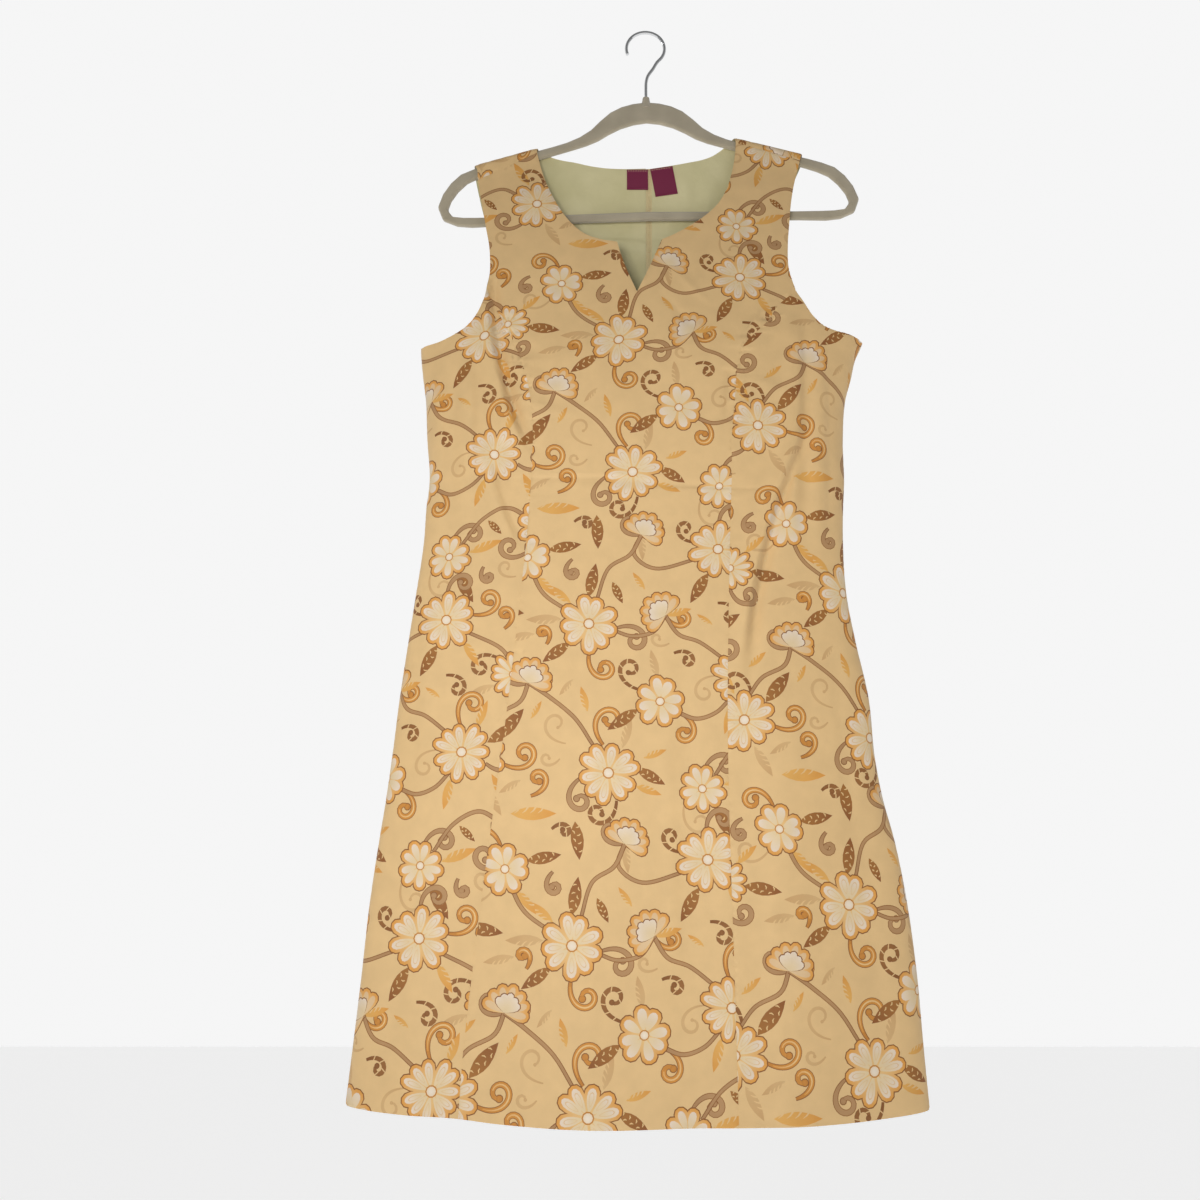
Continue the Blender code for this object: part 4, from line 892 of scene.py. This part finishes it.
def net(edge, step, shapes=(), across=18):
    """One net over the whole panel, made square by square, which is many times quicker than at once."""
    low, size = edge.min(axis=0) - step / 2, across * step
    places, triangles, tops, count = [], [], [], 0
    for x in np.arange(low[0], edge[:, 0].max(), size):
        for y in np.arange(low[1], edge[:, 1].max(), size):
            some, corners, top = net_of_square(np.array([x, y]), size, step, edge, shapes)
            places.append(some)
            triangles.append(corners + count)
            tops.append(top)
            count += len(some)
    triangles = np.concatenate([part for part in triangles if len(part)])
    every = np.concatenate(places)
    _, first, same = np.unique(np.round(every, 3), axis=0, return_index=True, return_inverse=True)
    used, corners = np.unique(same.ravel()[triangles], return_inverse=True)
    corners, tops = corners.reshape(-1, 3), np.concatenate(tops)
    whole = (corners != np.roll(corners, 1, axis=1)).all(axis=1)
    return every[first[used]], corners[whole], tops[whole]


def rim_of(triangles):
    """The edge of a net as one loop of its places, in the triangles' direction."""
    edges = set()
    for a, b, c in triangles.tolist():
        for edge in ((a, b), (b, c), (c, a)):
            if edge[::-1] in edges:
                edges.remove(edge[::-1])
            else:
                edges.add(edge)
    following, longest = dict(edges), []
    while following:
        loop = [next(iter(following))]
        while loop[-1] in following:
            loop.append(following.pop(loop[-1]))
        longest = max(longest, loop[:-1], key=len)
    return np.array(longest)


print("net of", NET_STEP, "mm on the right side of the cloth and", INNER_STEP, "mm on the wrong side")

# %% Cloth shells
ROLL = 2.4  # mm in from an edge, where the cloth starts to roll
WRONG_SIDE = "D9BF90"  # its colour, a little duller
MAP_MARGIN, RIM_ON_MAP = 4.0, 2.0  # mm on the flat map: round each part, and the width of the rim


def hung(side, flat, edge, folds, inset, sink):
    """Points and normals of flat places, inset from the outer face, and sunk near the panel's edge."""
    places = from_flat(side, flat * (1, -1))
    points, normals = cloth_point(side, places, folds), normals_at(side, places, folds)
    points = points - inset * normals
    if not sink:
        return points, normals
    edge_points = cloth_point(side, from_flat(side, edge * (1, -1)), folds)
    tree = kdtree.KDTree(len(edge))
    for i, (x, y) in enumerate(edge):
        tree.insert((x, y, 0), i)
    tree.balance()
    found = [tree.find((x, y, 0)) for x, y in flat]
    away = np.array([f[2] for f in found])
    inward = points - edge_points[[f[1] for f in found]]
    inward /= np.maximum(np.linalg.norm(inward, axis=1, keepdims=True), 1e-6)
    part = np.clip(1 - away / ROLL, 0, 1)[:, None]
    rolled = normals - inward * (1.1 * sink * part / ROLL) * (away > 0.05)[:, None]
    points = points - sink * part**2 * normals
    return points, rolled / np.linalg.norm(rolled, axis=1, keepdims=True)


def ink_colours(flat, shapes, top):
    """The colour at each corner: its ink, from the inner to the outer shade across the shape."""
    inks = [CLOTH] + [s.ink for s in shapes]
    inner = np.array([linear(ink.inner) for ink in inks])[top]
    outer = np.array([linear(ink.outer) for ink in inks])[top]
    centre = np.array([(0, 0)] + [s.centre for s in shapes])[top]
    reach = np.array([1.0] + [s.reach for s in shapes])[top]
    part = np.clip(np.linalg.norm(flat - centre[:, None], axis=2) / reach[:, None], 0, 1)[..., None] ** 1.7
    return inner[:, None] * (1 - part) + outer[:, None] * part


def cloth_shell(name, side, loop, folds, inset, wall, sink, shapes=()):
    """A thin closed shell over one cut panel, with its colours and a flat UV map."""
    edge = to_flat(side, loop) * (1, -1)
    flat, triangles, top = net(edge, NET_STEP, [s.points for s in shapes])
    rim = rim_of(triangles)
    whole = math.ceil(np.ptp(edge, axis=0).max() / INNER_STEP) + 2
    inner_flat, inner_triangles, _ = net(flat[rim], INNER_STEP, across=whole)
    number = {tuple(place): k for k, place in enumerate(np.round(inner_flat, 3).tolist())}
    under = np.array([number[tuple(place)] for place in np.round(flat[rim], 3).tolist()]) + len(flat)
    outer, outer_normals = hung(side, flat, edge, folds, inset, sink)
    inner, inner_normals = hung(side, inner_flat, edge, folds, inset + wall, sink)
    after = np.roll(np.arange(len(rim)), -1)
    quads = np.stack([rim[after], rim, under, under[after]], axis=1)
    if side == FRONT:
        inner_triangles = inner_triangles[:, ::-1]
    else:
        triangles, quads = triangles[:, ::-1], quads[:, ::-1]

    mesh = bpy.data.meshes.new(name)
    faces = triangles.tolist() + (inner_triangles + len(flat)).tolist() + quads.tolist()
    mesh.from_pydata((np.concatenate([outer, inner]) * MM).tolist(), [], faces)
    colours = np.concatenate([
        ink_colours(flat[triangles], shapes, top).reshape(-1, 3),
        np.repeat([linear(WRONG_SIDE)], inner_triangles.size, axis=0),
        np.repeat([linear(CLOTH.inner)], quads.size, axis=0),
    ])
    attribute = mesh.color_attributes.new("print", "FLOAT_COLOR", "CORNER")
    attribute.data.foreach_set("color", np.column_stack([colours, np.ones(len(colours))]).ravel())

    low, size = flat.min(axis=0), np.ptp(flat, axis=0)
    outward = np.roll(flat[rim], -1, axis=0) - np.roll(flat[rim], 1, axis=0)
    outward = np.stack([outward[:, 1], -outward[:, 0]], axis=1)
    outward = flat[rim] + RIM_ON_MAP * outward / np.linalg.norm(outward, axis=1, keepdims=True)
    rim_map = np.stack([flat[rim[after]], flat[rim], outward, outward[after]], axis=1)
    if side == BACK:
        rim_map = rim_map[:, ::-1]
    beside = inner_flat + (size[0] + 3 * MAP_MARGIN, 0)
    corners = np.concatenate([flat[triangles].reshape(-1, 2), beside[inner_triangles].reshape(-1, 2),
                              rim_map.reshape(-1, 2)])  # fmt: skip
    scale = max(2 * size[0] + 6 * MAP_MARGIN, size[1] + 2 * MAP_MARGIN)
    unwrapped = mesh.uv_layers.new(name="OFBake")
    unwrapped.data.foreach_set("uv", ((corners - low + MAP_MARGIN) / scale).ravel())
    mesh.shade_smooth()
    mesh.normals_split_custom_set_from_vertices(np.concatenate([outer_normals, -inner_normals]).tolist())
    piece = bpy.data.objects.new(name, mesh)
    scene.collection.objects.link(piece)
    return piece


print("cloth rolls in over", ROLL, "mm at its edges")

# %% [markdown]
# ## Printed cotton
#
# A medium, plain-woven cotton with a little stretch: matt, with a faint bloom at grazing angles from the
# fibre ends. The inks soak in rather than lie on top, so they share the cloth's finish, and each is a
# little uneven. The weave is drawn about three times as coarse as the real threads, which would be too
# fine to see.

# %% Cotton
cotton, tree, shader = new_material("printed_cotton", Roughness=0.72, Sheen_Weight=0.12, Sheen_Roughness=0.5)
place = add(tree, "ShaderNodeTexCoord")
print_layer = add(tree, "ShaderNodeVertexColor", {"layer_name": "print"})
blotches = add(tree, "ShaderNodeTexNoise", Vector=place.outputs["Object"], Scale=62.0, Detail=3.0)
uneven = add(tree, "ShaderNodeMapRange", Value=blotches.outputs["Fac"], From_Min=0.3, From_Max=0.7,
             To_Min=0.96, To_Max=1.03)
dyed = add(tree, "ShaderNodeMix", {"data_type": "RGBA", "blend_type": "MULTIPLY"}, _0=1.0,
           _6=print_layer.outputs["Color"], _7=uneven.outputs["Result"])
tree.links.new(dyed.outputs[2], shader.inputs["Base Color"])
warp = add(tree, "ShaderNodeTexWave", {"bands_direction": "X"}, Vector=place.outputs["Object"], Scale=250.0,
           Distortion=0.6)
weft = add(tree, "ShaderNodeTexWave", {"bands_direction": "Z"}, Vector=place.outputs["Object"], Scale=250.0,
           Distortion=0.6)
threads = add(tree, "ShaderNodeMath", {"operation": "MAXIMUM"}, _0=warp.outputs["Fac"],
              _1=weft.outputs["Fac"])
crumple = add(tree, "ShaderNodeTexNoise", Vector=place.outputs["Object"], Scale=38.0, Detail=4.0)
relief = add(tree, "ShaderNodeBump", Strength=0.35, Distance=0.0012, Height=crumple.outputs["Fac"])
woven = add(tree, "ShaderNodeBump", Strength=0.12, Distance=0.0002, Height=threads.outputs["Value"],
            Normal=relief.outputs["Normal"])
tree.links.new(woven.outputs["Normal"], shader.inputs["Normal"])
print("material:", cotton.name)

# %% Five printed panels
def print_on(side, loop, shift):
    """The shapes of every repeat that touches the panel."""
    edge = to_flat(side, loop) * (1, -1)
    low, high = edge.min(axis=0), edge.max(axis=0)
    offsets = []
    for down in range(-5, 1):
        for along in range(-3, 3):
            offsets.append(np.array([along * REPEAT[0] - down * DRIFT, down * REPEAT[1]]) + shift)
    shapes = []
    for shape in ONE_REPEAT:
        for offset in offsets:
            points = shape.points + offset
            if (points.max(axis=0) > low).all() and (points.min(axis=0) < high).all():
                shapes.append(shape._replace(points=points, centre=shape.centre + offset))
    return shapes


def put_on(piece, material, node=None):
    """A piece's material, and its place on the dress instead of a solid."""
    piece.data.materials.append(material)
    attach(piece, "dress")
    if node:
        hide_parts(node)


SHIFTS = ((-12, 20), (30, -48), (-64, 55), (-90, 120), (75, -36))  # where the print falls on each panel
COTTON_WALL, SEAM_SINK = 0.7, 0.9  # mm
for (name, side, loop), shift in zip(PANELS, SHIFTS):
    shapes = print_on(side, loop, shift)
    piece = cloth_shell("cloth_" + name, side, loop, CLOTH_FOLDS, 0, COTTON_WALL, SEAM_SINK, shapes)
    put_on(piece, cotton, name)
    print(name, "carries", len(shapes), "shapes on", len(piece.data.polygons), "faces")

# %% [markdown]
# ## Lining
#
# The bodice is lined with a pale taffeta cut to the same neck and armholes as the shell, and hung a little
# inside it, down to the hips. Taffeta is a tight weave of smooth filament yarn, so it shines softly and
# keeps small crumples. Its colour is painted lighter and darker in broad patches, a painted sheen and shade.
# At the centre back it stops beside the zip's chain.

# %% Taffeta
taffeta, tree, shader = new_material("lining_taffeta", Roughness=0.42, Sheen_Weight=0.2, Sheen_Roughness=0.3)
place = add(tree, "ShaderNodeTexCoord")
# painted sheen and shade: the lining's colour is lighter and darker in broad patches of noise
shade = add(tree, "ShaderNodeTexNoise", Vector=place.outputs["Object"], Scale=24.0, Detail=3.0)
painted_sheen_ramp = add(tree, "ShaderNodeMix", {"data_type": "RGBA"}, _0=shade.outputs["Fac"],
           _6=(*linear("C2B987"), 1), _7=(*linear("E2D8AC"), 1))
tree.links.new(painted_sheen_ramp.outputs[2], shader.inputs["Base Color"])
ribs = add(tree, "ShaderNodeTexWave", {"bands_direction": "Z"}, Vector=place.outputs["Object"], Scale=300.0,
           Distortion=0.4)
crumple = add(tree, "ShaderNodeTexNoise", Vector=place.outputs["Object"], Scale=55.0, Detail=3.0,
              Distortion=0.6)
relief = add(tree, "ShaderNodeBump", Strength=0.5, Distance=0.0014, Height=crumple.outputs["Fac"])
ribbed = add(tree, "ShaderNodeBump", Strength=0.08, Distance=0.0002, Height=ribs.outputs["Fac"],
             Normal=relief.outputs["Normal"])
tree.links.new(ribbed.outputs["Normal"], shader.inputs["Normal"])
print("material:", taffeta.name)

# %% The lining's three pieces
LINING_INSET, LINING_WALL, LINING_FOOT, ZIP_ROOM = 1.8, 0.6, 500.0, 3.3  # mm


def down_to(places, foot=LINING_FOOT):
    kept = places[places[:, 1] < foot - 1]
    return np.concatenate([kept, [[np.interp(foot, places[:, 1], places[:, 0]), foot]]])


def straight(start, stop, run=LINING_FOOT, step=0.006):
    shares = np.linspace(start, stop, math.ceil(abs(stop - start) / step))
    return np.stack([shares, np.full_like(shares, run)], axis=-1)


def lining_front():
    left, right = down_to(side_seam(LEFT)), down_to(side_seam(RIGHT))
    return joined(
        line(LEFT.armhole), line(LEFT.underarm), left, straight(left[-1, 0], right[-1, 0]), right[::-1],
        line(RIGHT.underarm)[::-1], line(RIGHT.armhole)[::-1], shoulder_seam(RIGHT, FRONT),
        line(RIGHT.neck), line(RIGHT.notch), line(LEFT.notch)[::-1], line(LEFT.neck)[::-1],
        shoulder_seam(LEFT, FRONT)[::-1],
    )  # fmt: skip


def lining_back(side):
    off = np.array([side.share * ZIP_ROOM, 0])
    neck = from_shoulder(side.neck[0], side.neck_over, side.back_neck[:-1] + (tuple(BACK_CENTRE[0] + off),))
    armhole = from_shoulder(side.armhole[0], side.arm_over, side.back_armhole)
    centre, seam = down_to(line(np.array(BACK_CENTRE) + off)), down_to(side_seam(side))
    return joined(
        neck, centre, straight(centre[-1, 0], side.share), seam[::-1], armhole[::-1],
        shoulder_seam(side, BACK),
    )  # fmt: skip


LININGS = (
    ("lining_front", FRONT, lining_front()),
    ("lining_back_left", BACK, lining_back(LEFT)),
    ("lining_back_right", BACK, lining_back(RIGHT)),
)
for name, side, loop in LININGS:
    piece = cloth_shell("cloth_" + name, side, loop, LINING_FOLDS, LINING_INSET, LINING_WALL, 0)
    put_on(piece, taffeta, name)
    print(name, "faces", len(piece.data.polygons))

# %% [markdown]
# ## Labels
#
# Two labels are sewn to the lining just under the back neck: the maker's and the one for care. Both are
# damask-woven polyester satin in a wine red, left blank here. Their upper and lower ends are folded under,
# which leaves a thicker edge, and a line of thread holds the top.

# %% Satin and thread
woven_satin, tree, shader = new_material("woven_label", Roughness=0.5)
place = add(tree, "ShaderNodeTexCoord")
threads = add(tree, "ShaderNodeTexWave", {"bands_direction": "Z"}, Vector=place.outputs["Object"],
              Scale=420.0, Distortion=1.0)
tint = add(tree, "ShaderNodeMix", {"data_type": "RGBA"}, _0=threads.outputs["Fac"],
           _6=(*linear("6A1434"), 1), _7=(*linear("7E2046"), 1))
tree.links.new(tint.outputs[2], shader.inputs["Base Color"])
relief = add(tree, "ShaderNodeBump", Strength=0.2, Distance=0.0002, Height=threads.outputs["Fac"])
tree.links.new(relief.outputs["Normal"], shader.inputs["Normal"])

thread, tree, shader = new_material("polyester_thread", Roughness=0.5, Sheen_Weight=0.2)
place = add(tree, "ShaderNodeTexCoord")
twist = add(tree, "ShaderNodeTexWave", {"bands_direction": "DIAGONAL"}, Vector=place.outputs["Object"],
            Scale=500.0)
tint = add(tree, "ShaderNodeMix", {"data_type": "RGBA"}, _0=twist.outputs["Fac"],
           _6=(*linear("CDB27C"), 1), _7=(*linear("E2CB98"), 1))
tree.links.new(tint.outputs[2], shader.inputs["Base Color"])
print("materials:", woven_satin.name, "and", thread.name)

# %% Slabs and stitches
STITCH_WIDE, STITCH_HIGH = 0.5, 0.35  # mm


def back_at(x, drop, folds):
    """Points and normals of the back sheet at x and drop."""
    places = np.stack([share_at(x, drop), drop], axis=-1)
    return cloth_point(BACK, places, folds), normals_at(BACK, places, folds)


def add_piece(name, mesh_source, material, node=None):
    """A finished mesh in metres, as a piece of the dress."""
    mesh = bpy.data.meshes.new(name)
    bmesh.ops.recalc_face_normals(mesh_source, faces=mesh_source.faces)
    mesh_source.to_mesh(mesh)
    mesh_source.free()
    piece = bpy.data.objects.new(name, mesh)
    scene.collection.objects.link(piece)
    put_on(piece, material, node)
    return piece


def slab(mesh_source, upper, lower):
    """A closed plate between two grids of points, in millimetres."""
    down, across = upper.shape[0] - 1, upper.shape[1] - 1
    corners = [[[mesh_source.verts.new(p * MM) for p in row] for row in grid] for grid in (upper, lower)]
    for k, grid in enumerate(corners):
        for i in range(down):
            for j in range(across):
                quad = [grid[i][j], grid[i + 1][j], grid[i + 1][j + 1], grid[i][j + 1]]
                mesh_source.faces.new(quad if k else quad[::-1])
    rim = [(0, j) for j in range(across)] + [(i, across) for i in range(down)]
    rim += [(down, j) for j in range(across, 0, -1)] + [(i, 0) for i in range(down, 0, -1)]
    for (i, j), (m, n) in zip(rim, rim[1:] + rim[:1]):
        mesh_source.faces.new([corners[0][i][j], corners[0][m][n], corners[1][m][n], corners[1][i][j]])


def stitches(name, starts, ends, normals):
    """A row of stitches: low six-sided lozenges of thread from each start to each end."""
    made = bmesh.new()
    for start, end, normal in zip(starts, ends, normals):
        along = (end - start) / np.linalg.norm(end - start)
        across = np.cross(normal, along) * STITCH_WIDE / 2
        ring = [start, start + 0.3 * (end - start) + across, start + 0.7 * (end - start) + across, end,
                start + 0.7 * (end - start) - across, start + 0.3 * (end - start) - across]  # fmt: skip
        low = [made.verts.new(p * MM) for p in ring]
        top = made.verts.new(((start + end) / 2 + STITCH_HIGH * normal) * MM)
        for a, b in zip(low, low[1:] + low[:1]):
            made.faces.new([a, b, top])
        made.faces.new(low[::-1])
    return add_piece(name, made, thread)


print("a stitch is", STITCH_WIDE, "mm wide and stands", STITCH_HIGH, "mm proud")

# %% Two labels
Label = namedtuple("Label", "name left top width height lean rise")
LABELS = (
    Label("label_neck", -21.2, 167.2, 22.6, 22.5, 0.0, 0.0),
    Label("label_care", 3.8, 166.6, 24, 31, 5.6, 3.6),
)
LABEL_WALL, FOLDED_END, LABEL_INSET = 0.45, 2.2, 2.7  # mm
ROW_IN, STITCH_LONG, STITCH_EVERY = 1.2, 1.8, 2.6  # mm: from the label's side, and along the row

for label in LABELS:
    v, u = np.meshgrid(np.linspace(0, 1, 26), np.linspace(0, 1, 20), indexing="ij")
    x = label.left + u * label.width + v * label.lean
    drop = label.top + v * label.height - u * label.rise
    points, normals = back_at(x, drop, LINING_FOLDS)
    from_end = np.minimum(v, 1 - v) * label.height
    curl = 0.25 * ((from_end < FOLDED_END) + 0.6 * np.sin(3 * u + 2 * v) * (from_end < 1))[..., None]
    body = bmesh.new()
    slab(body, points - LABEL_INSET * normals, points - (LABEL_INSET + LABEL_WALL + curl) * normals)
    piece = add_piece(label.name + "_woven", body, woven_satin, label.name)
    row = np.arange(ROW_IN, label.width - STITCH_EVERY, STITCH_EVERY)
    ends = []
    for offset in (0, STITCH_LONG):
        x = label.left + row + offset
        drop = label.top + 1.4 - (row + offset) / label.width * label.rise
        points, normals = back_at(x, drop, LINING_FOLDS)
        ends.append(points - (LABEL_INSET + LABEL_WALL + 0.28) * normals)
    stitches(label.name + "_stitches", *ends, -normals)
    print(label.name, label.width, "by", label.height, "mm,", len(row), "stitches")

# %% [markdown]
# ## Zip
#
# The back opens with a slim nylon coil zip. The coil is one monofilament wound into teeth and sewn to a
# woven tape, so it is bendy and quiet. Behind the seam only the chain shows, between the edges of the
# lining. Outside, a row of stitches on each side of the seam holds the tapes, and the slider and its tab
# are die-cast zinc under a coat of enamel dyed to match the cloth.

# %% Nylon
coil_nylon, tree, shader = new_material("nylon_zip", Roughness=0.4)
place = add(tree, "ShaderNodeTexCoord")
speckle = add(tree, "ShaderNodeTexNoise", Vector=place.outputs["Object"], Scale=900.0)
tint = add(tree, "ShaderNodeMix", {"data_type": "RGBA"}, _0=speckle.outputs["Fac"],
           _6=(*linear("D2BF8E"), 1), _7=(*linear("E6D6A8"), 1))
tree.links.new(tint.outputs[2], shader.inputs["Base Color"])
relief = add(tree, "ShaderNodeBump", Strength=0.15, Distance=0.0002, Height=speckle.outputs["Fac"])
tree.links.new(relief.outputs["Normal"], shader.inputs["Normal"])
print("material:", coil_nylon.name)

# %% Tape, coil and stitches
ZIP_TOP, ZIP_FOOT, TAPE_WIDE, TOOTH_PITCH, STITCH_PITCH, STITCH_OFF = 166.0, 722.0, 26.0, 1.6, 3.2, 8.0
TAPE_FACES = (1.1, 1.4)  # mm inside the cloth's outer face, where the tape lies
TOOTH_ACROSS = np.array([-1.7, -0.9, 0.9, 1.7])  # mm, the bends of a turn of the coil
TOOTH_ARCH = np.array([1.6, 2.05, 2.05, 1.6])[None, :, None]  # mm inside the cloth at each bend
TOOTH_STAGGER, TOOTH_LONG, TOOTH_WALL = 0.35, 0.84, 0.35  # mm
BACK_CENTRE_LINE = np.array(BACK_CENTRE)


def centre_back(runs, off):
    """Points and normals beside the centre back seam."""
    x = smooth_table(BACK_CENTRE_LINE[:, 1], BACK_CENTRE_LINE[:, :1], runs)[..., 0] + off
    return back_at(x, runs, CLOTH_FOLDS)


runs = np.linspace(ZIP_TOP, ZIP_FOOT, 186)
points, normals = [np.stack(part, axis=1) for part in zip(*(
    centre_back(runs, off) for off in np.linspace(-TAPE_WIDE / 2, TAPE_WIDE / 2, 12)))]
body = bmesh.new()
slab(body, points - TAPE_FACES[0] * normals, points - TAPE_FACES[1] * normals)
tape = add_piece("zip_tape", body, coil_nylon, "zip_chain")
body = bmesh.new()
teeth = np.arange(ZIP_TOP + 1, ZIP_FOOT - 1, TOOTH_PITCH)
for k, run in enumerate(teeth):
    across = TOOTH_STAGGER * (-1) ** k + TOOTH_ACROSS
    rows = [centre_back(np.full(4, run + half), across) for half in (-TOOTH_LONG / 2, TOOTH_LONG / 2)]
    points = np.stack([row[0] for row in rows])
    normals = np.stack([row[1] for row in rows])
    outer = TOOTH_ARCH - 0.1
    slab(body, points - outer * normals, points - (outer + TOOTH_WALL) * normals)
add_piece("zip_coil", body, coil_nylon)
for name, off in (("left", -STITCH_OFF), ("right", STITCH_OFF)):
    runs = np.arange(ZIP_TOP + 3, ZIP_FOOT + 6, STITCH_PITCH)
    starts, normals = centre_back(runs, off)
    ends, _ = centre_back(runs + 2.3, off)
    stitches("zip_stitches_" + name, starts - 0.05 * normals, ends - 0.05 * normals, normals)
print("zip:", len(teeth), "teeth over", ZIP_FOOT - ZIP_TOP, "mm,", len(runs), "stitches a side")

# %% [markdown]
# ## Slider, hanger and hook
#
# These are the hard parts and keep their solids. The hanger is moulded plastic covered with flock: short
# nylon fibres shot upright into glue, which look soft and velvety and catch the light at their edges. The
# hook is spring wire with bright chrome plating.

# %% Enamel, flock and chrome
enamel, tree, shader = new_material("enamelled_zinc", Roughness=0.32, Coat_Weight=0.4, Coat_Roughness=0.15)
place = add(tree, "ShaderNodeTexCoord")
worn = add(tree, "ShaderNodeTexNoise", Vector=place.outputs["Object"], Scale=260.0, Detail=3.0)
tint = add(tree, "ShaderNodeMix", {"data_type": "RGBA"}, _0=worn.outputs["Fac"],
           _6=(*linear("D8BF8A"), 1), _7=(*linear("E4CF9E"), 1))
tree.links.new(tint.outputs[2], shader.inputs["Base Color"])

flock, tree, shader = new_material("flocked_plastic", Roughness=0.95, Sheen_Weight=0.6, Sheen_Roughness=0.6)
place = add(tree, "ShaderNodeTexCoord")
fibres = add(tree, "ShaderNodeTexNoise", Vector=place.outputs["Object"], Scale=1400.0, Detail=2.0)
brushed = add(tree, "ShaderNodeTexNoise", Vector=place.outputs["Object"], Scale=40.0, Detail=2.0)
mixed = add(tree, "ShaderNodeMath", {"operation": "MULTIPLY_ADD"}, _0=fibres.outputs["Fac"], _1=0.4,
            _2=brushed.outputs["Fac"])
tint = add(tree, "ShaderNodeMix", {"data_type": "RGBA"}, _0=mixed.outputs["Value"],
           _6=(*linear("8E8269"), 1), _7=(*linear("B3A78E"), 1))
tree.links.new(tint.outputs[2], shader.inputs["Base Color"])
relief = add(tree, "ShaderNodeBump", Strength=0.3, Distance=0.0003, Height=fibres.outputs["Fac"])
tree.links.new(relief.outputs["Normal"], shader.inputs["Normal"])

chrome, tree, shader = new_material("chromed_wire", Base_Color=(0.78, 0.79, 0.80, 1), Metallic=1.0)
place = add(tree, "ShaderNodeTexCoord")
drawn = add(tree, "ShaderNodeTexNoise", Vector=place.outputs["Object"], Scale=500.0)
polish = add(tree, "ShaderNodeMapRange", Value=drawn.outputs["Fac"], To_Min=0.08, To_Max=0.2)
tree.links.new(polish.outputs["Result"], shader.inputs["Roughness"])
print("materials:", enamel.name, flock.name, chrome.name)

# %% Hard parts
for node, material in (
    ("hanger", flock), ("hanger_hook", chrome), ("zip_slider", enamel), ("zip_pull", enamel),
):  # fmt: skip
    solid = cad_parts[node]
    solid.data.materials.clear()
    solid.data.materials.append(material)
print("hard parts keep their solids: hanger, hanger_hook, zip_slider, zip_pull")
